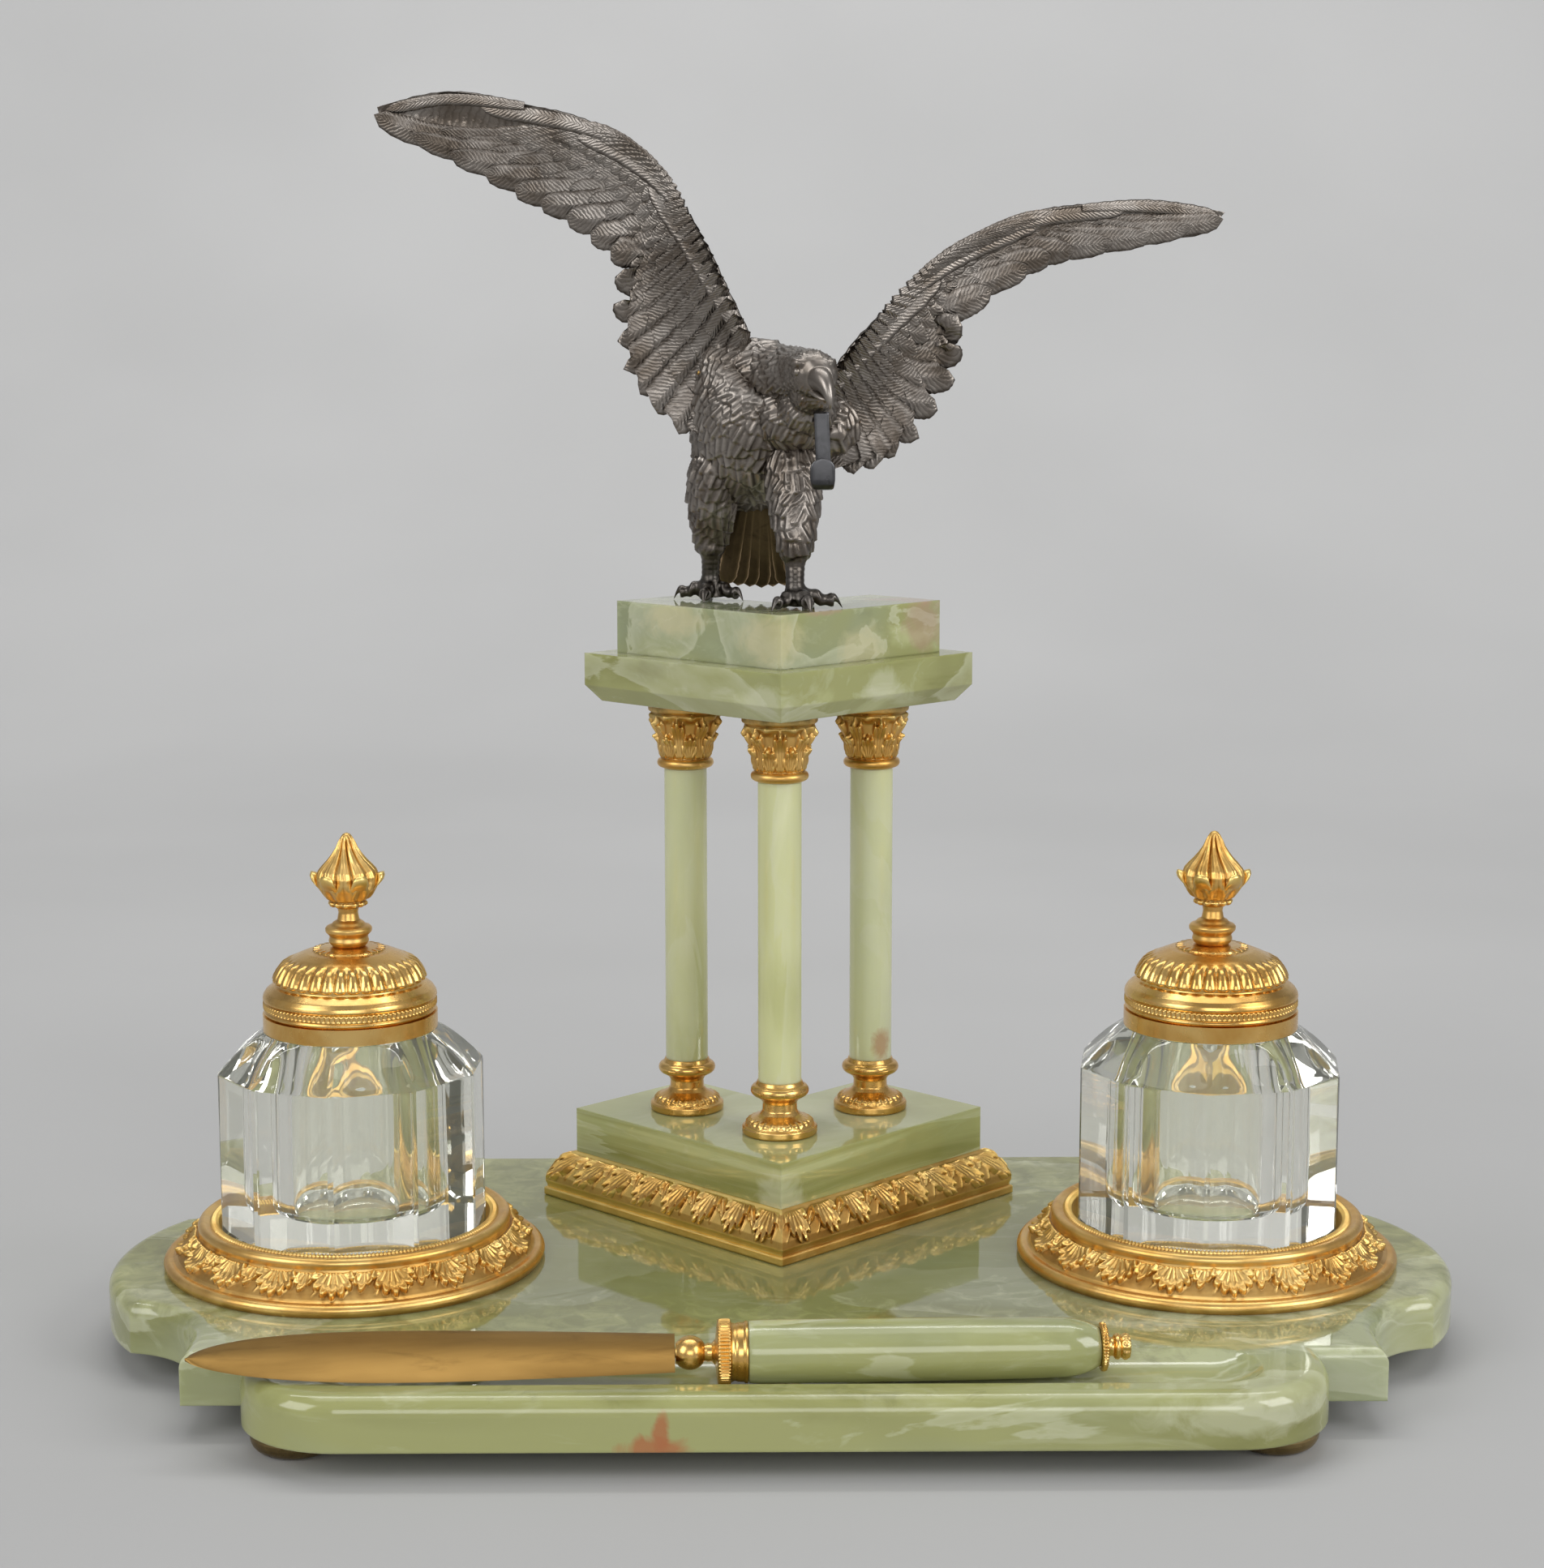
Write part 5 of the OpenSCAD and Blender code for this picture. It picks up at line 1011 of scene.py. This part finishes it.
def wingSheet(side):
    # thin core that the feathers lie on
    t, u = np.meshgrid(np.linspace(0, 0.985, 60), np.linspace(0.05, 0.84, 14), indexing="ij")
    middle = wingPoint(side, t, u)
    thin = 0.55 * np.sin(np.clip((u - 0.05) / 0.79, 0, 1) * math.pi) ** 0.5 * (1 - 0.5 * t) + 0.25
    front, back = middle.copy(), middle.copy()
    front[..., 1] -= thin
    back[..., 1] += thin
    n = t.size
    faces = gridFaces(60, 14)
    lead = side == "Left"
    top, under = (faces if lead else faces[:, ::-1]), (faces[:, ::-1] if lead else faces) + n
    edge = [(i, 0) for i in range(60)] + [(59, k) for k in range(1, 14)] + [(i, 13) for i in range(58, -1, -1)] + [(0, k) for k in range(12, 0, -1)]
    rim = []
    for (a, b), (c, d) in zip(edge, edge[1:] + edge[:1]):
        quad = [a * 14 + b, c * 14 + d, n + c * 14 + d, n + a * 14 + b]
        rim.append(quad[::-1] if lead else quad)
    uv = np.stack([t * 12, u], -1).reshape(-1, 2)
    return np.concatenate([front.reshape(-1, 3), back.reshape(-1, 3)]), np.vstack([top, under]).tolist() + rim, np.vstack([uv, uv])


def makeWing(side, material, seed):
    parts = [wingSheet(side)]
    rng = np.random.default_rng(seed)
    s = np.linspace(0, 1, 26)
    lean = 0.42 if side == "Left" else -0.42
    for index, row in enumerate(featherRows):
        for k in range(row["count"]):
            f = k / (row["count"] - 1)
            tipT = (0.012 + 0.988 * f) * (row["reach"] + (1 - row["reach"]) * (1 - f)) if index else 0.012 + 0.988 * f
            rootT = row["root"] * tipT ** 0.95
            t = rootT + (tipT - rootT) * s ** 1.1
            bow = 0.95 + 1.5 * f ** 1.5
            u = row["start"] + (row["end"] - row["start"]) * (1 - (1 - s) ** 1.4) ** bow
            u = np.clip(u + s * rng.uniform(-0.015, 0.010), 0, 0.995)
            path = wingPoint(side, t, u)
            half = row["half"][0] + (row["half"][1] - row["half"][0]) * f
            half = min(half, 1.2 + 0.30 * np.linalg.norm(path[-1] - path[0])) * rng.uniform(0.94, 1.06)
            lift = row["lift"] * (1 - 0.45 * f)
            parts.append(featherBlade(path, half, row["thick"], lean, True, lift, seed * 100 + k + index * 40))
            parts.append(featherBlade(path, half, row["thick"], -lean, False, lift, seed * 200 + k + index * 40))
    for t0, t1, half, thick in edgePlates:
        t = t0 + (t1 - t0) * s
        path = wingPoint(side, t, 0.10 + 0.10 * s + 0.55 * half / np.maximum(np.linalg.norm(
            through(bird["lead" + side], t) - through(bird["trail" + side], t), axis=-1), 6) - 0.07)
        blade = featherBlade(path, half, thick, 0.0, True, 0.9 * (1 - t0 * 0.6), 7, shaft=0.0, blunt=0.80)
        parts.append(blade)
        parts.append(featherBlade(path, half, thick, 0.0, False, 0.9 * (1 - t0 * 0.6), 7, shaft=0.0, blunt=0.80))
    points, faces = joined([(p, f) for p, f, uv in parts])
    box = bird["box"][side]
    points = np.clip(points, np.array(box[0]), np.array(box[1]))
    points, faces = placed((points, faces), 0, stand["towerY"], stand["perch"])
    name = "eagle_%s_wing" % side.lower()
    wing = makePiece(name + "_feathers", points, faces, material, "stand", [name], sharp=70)
    uv = np.vstack([uv for p, f, uv in parts])
    layer = wing.data.uv_layers.new(name="feather")
    corner = np.empty(len(wing.data.loops), np.int32)
    wing.data.loops.foreach_get("vertex_index", corner)
    layer.data.foreach_set("uv", uv[corner].astype(np.float32).ravel())


def ovalRing(centre, a, b, lean, drop=0.0, n=40):
    t = np.arange(n) * 2 * math.pi / n
    lean = math.radians(lean)
    return np.stack([centre[0] + a * np.cos(t), centre[1] + b * np.sin(t) * math.cos(lean),
                     centre[2] + b * np.sin(t) * math.sin(lean) - drop * a * np.cos(t)], 1)


def loft(rings, between=4):
    # closed skin over rings, with smooth steps added between them
    rings = np.array(rings)
    count = (len(rings) - 1) * between + 1
    t = np.linspace(0, 1, count)
    skin = through(rings.reshape(len(rings), -1), t).reshape(count, rings.shape[1], 3)
    n = rings.shape[1]
    return skin, gridFaces(count, n, aroundColumns=True).tolist() + [list(range(n))[::-1], list(range((count - 1) * n, count * n))]


def ball(centre, size, n=20):
    steps = [(-math.pi / 2 + math.pi * k / 12) for k in range(13)]
    rings = [[(centre[0] + size[0] * max(math.cos(s), 0.02) * math.cos(2 * math.pi * j / n),
               centre[1] + size[1] * max(math.cos(s), 0.02) * math.sin(2 * math.pi * j / n),
               centre[2] + size[2] * math.sin(s)) for j in range(n)] for s in steps]
    return loft(rings, 1)


torso = [((-7, 3, 28), 5, 4, 12, 0), ((-7, 1, 31), 11, 9, 8, 0), ((-6.5, -2.5, 36), 15.5, 12.6, 4, 0), ((-5.5, -6.2, 44), 18.8, 14.8, 0, 0.1),
         ((-4.5, -8, 52), 19.8, 16, 0, 0.22), ((-3.5, -9, 59.5), 19, 15, 5, 0.4), ((-3, -11, 64.5), 16.5, 12, 24, 0.6),
         ((-1.5, -15.5, 66.5), 13, 9.6, 48, 0.5), ((2, -22, 66), 10, 8.2, 70, 0.2), ((5, -28, 66), 8.2, 7.4, 84, 0.05),
         ((7.2, -33, 66.4), 7.2, 6.8, 90, 0), ((8.8, -38, 66.6), 6.9, 6.5, 96, 0), ((10.2, -42, 65.8), 5.6, 5.6, 102, 0),
         ((11.0, -44.2, 64.8), 3.8, 4.2, 106, 0)]
legs = {"right": ([3.4, 4, 4.2, 4.4, 4.4, 4.4], [-15, -18, -21, -24, -26, -27.5]),
        "left": ([-16, -17.5, -19, -19.5, -19.8, -20], [-6, -5.5, -4, -2, 0.5, 2])}
toes = [((4.4, -29), (-2.4, -37), 2.6), ((5.6, -29), (8.6, -36.5), 2.7), ((6, -28), (18, -25.5), 2.7), ((5, -26.5), (10, -17.5), 2.9),
        ((-20.4, 1), (-22, -9), 2.6), ((-18.6, 2), (-10.4, -3.5), 2.6), ((-21.6, 2), (-31, 4.5), 2.6), ((-20.2, 3), (-22, 12), 2.9)]


def legRings(x, y):
    spec = [(0, 46, 6, 8, 0), (1, 40, 7.4, 8.8, 0), (2, 31, 6.9, 8.0, -8), (3, 23, 5.3, 6.2, -10), (4, 17.5, 4.1, 4.5, -6), (4, 13.5, 3.3, 3.5, 0),
            (5, 8, 2.9, 3.1, 0), (5, 4, 3.5, 3.7, 0), (5, 0.6, 4.2, 4.4, 0)]
    return [ovalRing((x[k], y[k], z), a, b, lean) for k, z, a, b, lean in spec][::-1]


def toeLoft(a, b, r):
    # toe with three pads and a curved claw that ends on the stone
    a, b = np.array(a, float), np.array(b, float)
    d = (b - a) / np.linalg.norm(b - a)
    rings = []
    for t in np.linspace(0, 0.80, 15):
        p = a + (b - a) * t
        q = r * (1 - 0.28 * t + 0.13 * math.sin(t * 19))
        z = r * (1.05 - 0.2 * t) + (0.45 * r * math.sin(min(1, t / 0.5) * math.pi) if t < 0.5 else 0)
        rings.append([(p[0] - q * d[1] * math.cos(c), p[1] + q * d[0] * math.cos(c), max(0.05, z + q * math.sin(c)))
                      for c in np.arange(16) * math.pi / 8])
    claw = []
    for s in np.linspace(0, 1, 9):
        p = a + (b - a) * (0.72 + 0.28 * s)
        q = r * 0.55 * (1 - s) ** 0.7 + 0.06
        z = r * (0.95 + 0.30 * math.sin(s * math.pi)) * (1 - s ** 2.2) + 0.12
        claw.append([(p[0] - q * d[1] * math.cos(c), p[1] + q * d[0] * math.cos(c), max(0.04, z + q * math.sin(c)))
                     for c in np.arange(12) * math.pi / 6])
    return loft(rings, 1), loft(claw, 1)


def remeshed(shape, voxel, smooth):
    mesh = bpy.data.meshes.new("wax")
    points, faces = shape
    mesh.from_pydata((np.asarray(points).reshape(-1, 3) * mm).tolist(), [], [list(map(int, f)) for f in faces])
    wax = bpy.data.objects.new("wax", mesh)
    scene.collection.objects.link(wax)
    modifier = wax.modifiers.new("voxels", "REMESH")
    modifier.mode, modifier.voxel_size = "VOXEL", voxel * mm
    modifier = wax.modifiers.new("smooth", "SMOOTH")
    modifier.factor, modifier.iterations = 0.5, smooth
    depsgraph = bpy.context.evaluated_depsgraph_get()
    depsgraph.update()
    done = bpy.data.meshes.new_from_object(wax.evaluated_get(depsgraph))
    bpy.data.objects.remove(wax)
    p = np.empty(len(done.vertices) * 3)
    done.vertices.foreach_get("co", p)
    n = np.empty(len(done.vertices) * 3)
    done.vertices.foreach_get("normal", n)
    faces = [tuple(f.vertices) for f in done.polygons]
    return p.reshape(-1, 3) / mm, n.reshape(-1, 3), faces


def plumage(points, normals, seed):
    # overlapping small feathers: seeded places on the skin, each laid along the local run of the plumage
    from mathutils.kdtree import KDTree
    tree = KDTree(len(points))
    for i, p in enumerate(points):
        tree.insert(p, i)
    tree.balance()
    x, y, z = points.T
    neck = smoothStep((-14 - y) / 10) * smoothStep((z - 46) / 10)
    flow = np.stack([0.12 * x / 10 + 0.45 * np.sin(0.30 * z + 0.35 * x), 0.25 + 0 * y, -1 + 0 * z], 1) * (1 - neck)[:, None] + np.array([-0.35, 0.9, -0.35]) * neck[:, None]
    flow -= np.sum(flow * normals, 1)[:, None] * normals
    flow /= np.maximum(np.linalg.norm(flow, axis=1), 1e-6)[:, None]
    head = smoothStep((-29 - y) / 6) * smoothStep((z - 50) / 8)
    size = 4.9 - 1.3 * neck - 1.7 * head + 0.8 * smoothStep((y - 0) / 6) - 0.5 * smoothStep((26 - z) / 12)
    height = np.zeros(len(points))
    free = (z > 13) & (y > -42)
    rng = np.random.default_rng(seed)
    for i in rng.permutation(len(points)):
        if not free[i]:
            continue
        r = size[i] * rng.uniform(0.85, 1.15)
        near = tree.find_range(points[i], r * 1.5)
        index = np.array([n[1] for n in near])
        free[index[np.linalg.norm(points[index] - points[i], axis=1) < r * 0.66]] = False
        offset = points[index] - points[i]
        a = offset @ flow[i] / (r * 1.05)
        b = offset @ np.cross(normals[i], flow[i]) / (r * 0.80)
        bent = b + 0.35 * rng.uniform(-1, 1) * a
        far = np.sqrt(np.clip(a, 0, None) ** 2 + bent ** 2)
        inside = smoothStep((1 - far) / 0.20) * smoothStep((a + 1.1) / 0.5)
        rise = 0.15 + 0.85 * np.clip((a + 1) / 2, 0, 1) ** 1.3
        rib = 0.16 * np.exp(-(bent / 0.12) ** 2) + 0.13 * np.cos(bent * 11) * smoothStep((a + 0.4) / 0.5)
        height[index] = np.maximum(height[index], inside * (rise * np.sqrt(np.clip(1 - 0.7 * bent * bent, 0, 1)) + rib) * (r / 3.6) ** 0.8)
    scutes = np.where((z < 15) & (z > 4.5), 0.16 * np.abs(np.sin(z * 2.1)), 0)
    return height * smoothStep((z - 12.5) / 3) * bird["relief"] + scutes * (1 - smoothStep((z - 13) / 2))


def makeEagle():
    rings = [ovalRing(c, a, b, lean, drop) for c, a, b, lean, drop in torso]
    parts = [loft(rings, 4)]
    for x, y in legs.values():
        parts.append(loft(legRings(x, y), 3))
    # shoulders, brows and cheeks
    parts += [ball((-13, -13.5, 64), (6.5, 6, 10)), ball((15.5, -13, 51.5), (7, 5.5, 8.5)), ball((4, -20.5, 54.5), (10.5, 9, 10)),
              ball((7.8, -26.5, 57.5), (8.2, 7.4, 8)), ball((9.2, -33.5, 61), (6.4, 6.2, 5.4)), ball((5.6, -40.6, 69.6), (2.6, 3.2, 1.6)),
              ball((13.0, -40.2, 69.4), (2.6, 3.2, 1.6)), ball((9.4, -40, 69), (4.5, 4.5, 3.4))]
    tail = [ovalRing((-5, 3 + 13 * t, 30 - 27 * t), 7.5 + 3.2 * math.sqrt(t), 4.2 - 3.0 * t, 70 - 12 * t) for t in np.linspace(0, 0.9, 8)]
    clawParts = []
    for a, b, r in toes:
        toe, claw = toeLoft(a, b, r)
        parts.append(toe)
        clawParts.append(claw)
    points, normals, faces = remeshed(joined(parts), bird["voxel"], 4)
    points = points + normals * (plumage(points, normals, 5) - 0.35)[:, None]
    print("plumage laid on", len(points), "points")
    extras = clawParts
    beak = [((10.4, -42.4, 65.2), 3.7, 3.9, 104), ((11.2, -44.6, 64.9), 3.2, 3.5, 108), ((12.0, -46.6, 64.0), 2.6, 2.9, 116), ((12.8, -48.2, 62.2), 1.9, 2.2, 130),
            ((13.4, -49.1, 60.0), 1.25, 1.5, 150), ((13.7, -49.2, 58.2), 0.7, 0.9, 168), ((13.75, -48.9, 57.0), 0.12, 0.15, 175)]
    extras.append(loft([ovalRing(c, a, b, lean, n=24) for c, a, b, lean in beak], 4))
    jaw = [((10.2, -41.6, 62.2), 3.0, 1.5, 70), ((11.2, -44.4, 60.9), 2.2, 1.2, 70), ((12.0, -46.2, 60.0), 1.2, 0.8, 70), ((12.3, -46.9, 59.7), 0.2, 0.2, 70)]
    extras.append(loft([ovalRing(c, a, b, lean, n=20) for c, a, b, lean in jaw], 3))
    extras += [ball((4.6, -41.6, 67.2), (1.1, 1.3, 1.3), 16), ball((14.6, -41.0, 67.0), (1.1, 1.3, 1.3), 16)]
    tailBlades = []
    for layer, (count, spread, long) in enumerate(((7, 10.6, 1.0), (6, 8.6, 0.93))):
        for k in range(count):
            f = (k / (count - 1)) * 2 - 1
            s = np.linspace(0, long, 22)
            path = np.stack([-5 + f * (4.5 + (spread - 4.5) * s ** 0.8), 1.2 + 14.2 * s + layer * 0.6, 31 - 28.4 * s + 1.0 * abs(f) * s], 1)
            tailBlades.append(featherBlade(path, 2.9, 1.0, 0.35 * (1 if f > 0 else -1), True, 1.6 * (1 - layer), 900 + k + layer * 20))
            tailBlades.append(featherBlade(path, 2.9, 1.0, -0.35 * (1 if f > 0 else -1), False, 0.4, 940 + k + layer * 20))
    tailPoints, tailFaces = placed(joined([loft(tail, 2)] + [(p, f) for p, f, uv in tailBlades]), 0, stand["towerY"], stand["perch"])
    makePiece("eagle_tail_feathers", tailPoints, tailFaces, tailBronze, "stand", ["eagle_body"])
    everything = joined([(points, faces)] + extras)
    points, faces = placed(everything, 0, stand["towerY"], stand["perch"])
    makePiece("eagle_body_feathers", points, faces, castSilver, "stand", ["eagle_body"])
    print("eagle body made")
    makeWing("Left", featherSilver, 3)
    makeWing("Right", featherSilver, 7)
    print("wings made")


def makeFeatherSilver():
    # the bird's silver with barbs cut across each feather, dark patina with painted shade towards the feather's edges,
    # and painted shade in the grooves between the barbs
    material = makeMetal("silvered bronze, wing", silver["low"], silver["high"], (0.26, 0.42), silver["dark"], 0.75, grain=700, cavity=0.7)
    tree = material.node_tree
    shader = tree.nodes["Principled BSDF"]
    uv = addNode(tree, "ShaderNodeUVMap", uv_map="feather").outputs[0]
    parted = addNode(tree, "ShaderNodeSeparateXYZ", {0: uv})
    across = maths(tree, "ABSOLUTE", parted.outputs["Y"])
    ragged = noise(tree, objectPlace(tree), 260, 4, 0.6)
    slope = maths(tree, "SUBTRACT", maths(tree, "MULTIPLY", parted.outputs["X"], 46), maths(tree, "MULTIPLY", across, 17))
    barbs = maths(tree, "SINE", maths(tree, "ADD", slope, maths(tree, "MULTIPLY", ragged, 14)))
    height = maths(tree, "ADD", maths(tree, "MULTIPLY", barbs, 0.35), ragged)
    bump = addNode(tree, "ShaderNodeBump", {"Strength": 0.4, "Distance": 0.0002, "Height": height})
    tree.links.new(bump.outputs[0], shader.inputs["Normal"])
    # patina with painted shade: darker towards the feather's edges
    edge = addNode(tree, "ShaderNodeMapRange", {"Value": maths(tree, "ADD", across, maths(tree, "MULTIPLY", ragged, 0.5)),
                                                "From Min": 0.85, "From Max": 1.25, "To Max": 0.85})
    # painted shade: darker in the grooves between the barbs
    groove = addNode(tree, "ShaderNodeMapRange", {"Value": barbs, "From Min": -1.0, "From Max": 0.0, "To Min": 0.28, "To Max": 0.0})
    colour = shader.inputs["Base Color"].links[0].from_socket
    colour = mixed(tree, edge.outputs[0], colour, silver["dark"])
    colour = mixed(tree, groove.outputs[0], colour, silver["dark"])
    tree.links.new(colour, shader.inputs["Base Color"])
    return material


def darkFeet(material, low, high):
    # the feet are darker than the plumage, up to the ankles
    tree = material.node_tree
    shader = tree.nodes["Principled BSDF"]
    height = addNode(tree, "ShaderNodeSeparateXYZ", {0: addNode(tree, "ShaderNodeTexCoord").outputs["Object"]}).outputs["Z"]
    amount = addNode(tree, "ShaderNodeMapRange", {"Value": height, "From Min": low, "From Max": high, "To Min": 0.7, "To Max": 0.0})
    colour = mixed(tree, amount.outputs[0], shader.inputs["Base Color"].links[0].from_socket, srgb(52, 50, 48))
    tree.links.new(colour, shader.inputs["Base Color"])


# Strap with a tab, hanging under the beak; mm from the middle of the top block's upper face

hook = {"x": 12, "strap": 4.3, "tab": 7.0, "thick": 1.3, "top": 56, "bend": (-37, 37.2), "turn": 2.3, "tip": 43.2}


def addHook():
    t = np.linspace(0, 1, 24)
    y0, z0 = hook["bend"]
    down = [(y0 + hook["turn"], hook["top"] + (z0 - hook["top"]) * u, hook["strap"], -0.4 + 0.8 * u) for u in t]
    around = [(y0 + hook["turn"] * math.cos(math.pi * u), z0 - hook["turn"] * math.sin(math.pi * u),
               hook["strap"] + (hook["tab"] - hook["strap"]) * u, 0.4 - 0.5 * u) for u in t[1:]]
    up = [(y0 - hook["turn"], z0 + (hook["tip"] - z0) * u,
           max(0.4, hook["tab"] * math.sqrt(max(0, 1 - max(0, (u - 0.45) / 0.55) ** 2.4))), -0.1) for u in t[1:]]
    path = np.array(down + around + up)
    along = np.gradient(path[:, :2], axis=0)
    along /= np.linalg.norm(along, axis=1)[:, None]
    angle = np.arange(28) * math.pi / 14
    wide = np.sign(np.cos(angle)) * np.abs(np.cos(angle)) ** 0.4
    deep = np.sign(np.sin(angle)) * np.abs(np.sin(angle)) ** 0.6
    rings = [np.stack([hook["x"] + dx + width / 2 * wide, y - tz * hook["thick"] / 2 * deep, z + ty * hook["thick"] / 2 * deep], 1)
             for (y, z, width, dx), (ty, tz) in zip(path, along)]
    pin = [[(hook["x"] + 0.95 * math.cos(c), y, 52 + 0.95 * math.sin(c)) for c in angle] for y in (-34.5, -20)]
    points, faces = placed(joined([loft(rings, 1), loft(pin, 1)]), 0, stand["towerY"], stand["perch"])
    makePiece("watch_hook_strap", points, faces, darkSteel, "stand", ["watch_hook"])
    print("hook made")


tailBronze = makeMetal("silvered bronze, tail", srgb(84, 70, 52), srgb(116, 99, 76), (0.46, 0.62), srgb(44, 34, 24), 0.7,
                       grain=700, cavity=0.6)
darkFeet(castSilver, (stand["perch"] + 9) * mm, (stand["perch"] + 19) * mm)
featherSilver = makeFeatherSilver()
makeEagle()
addHook()
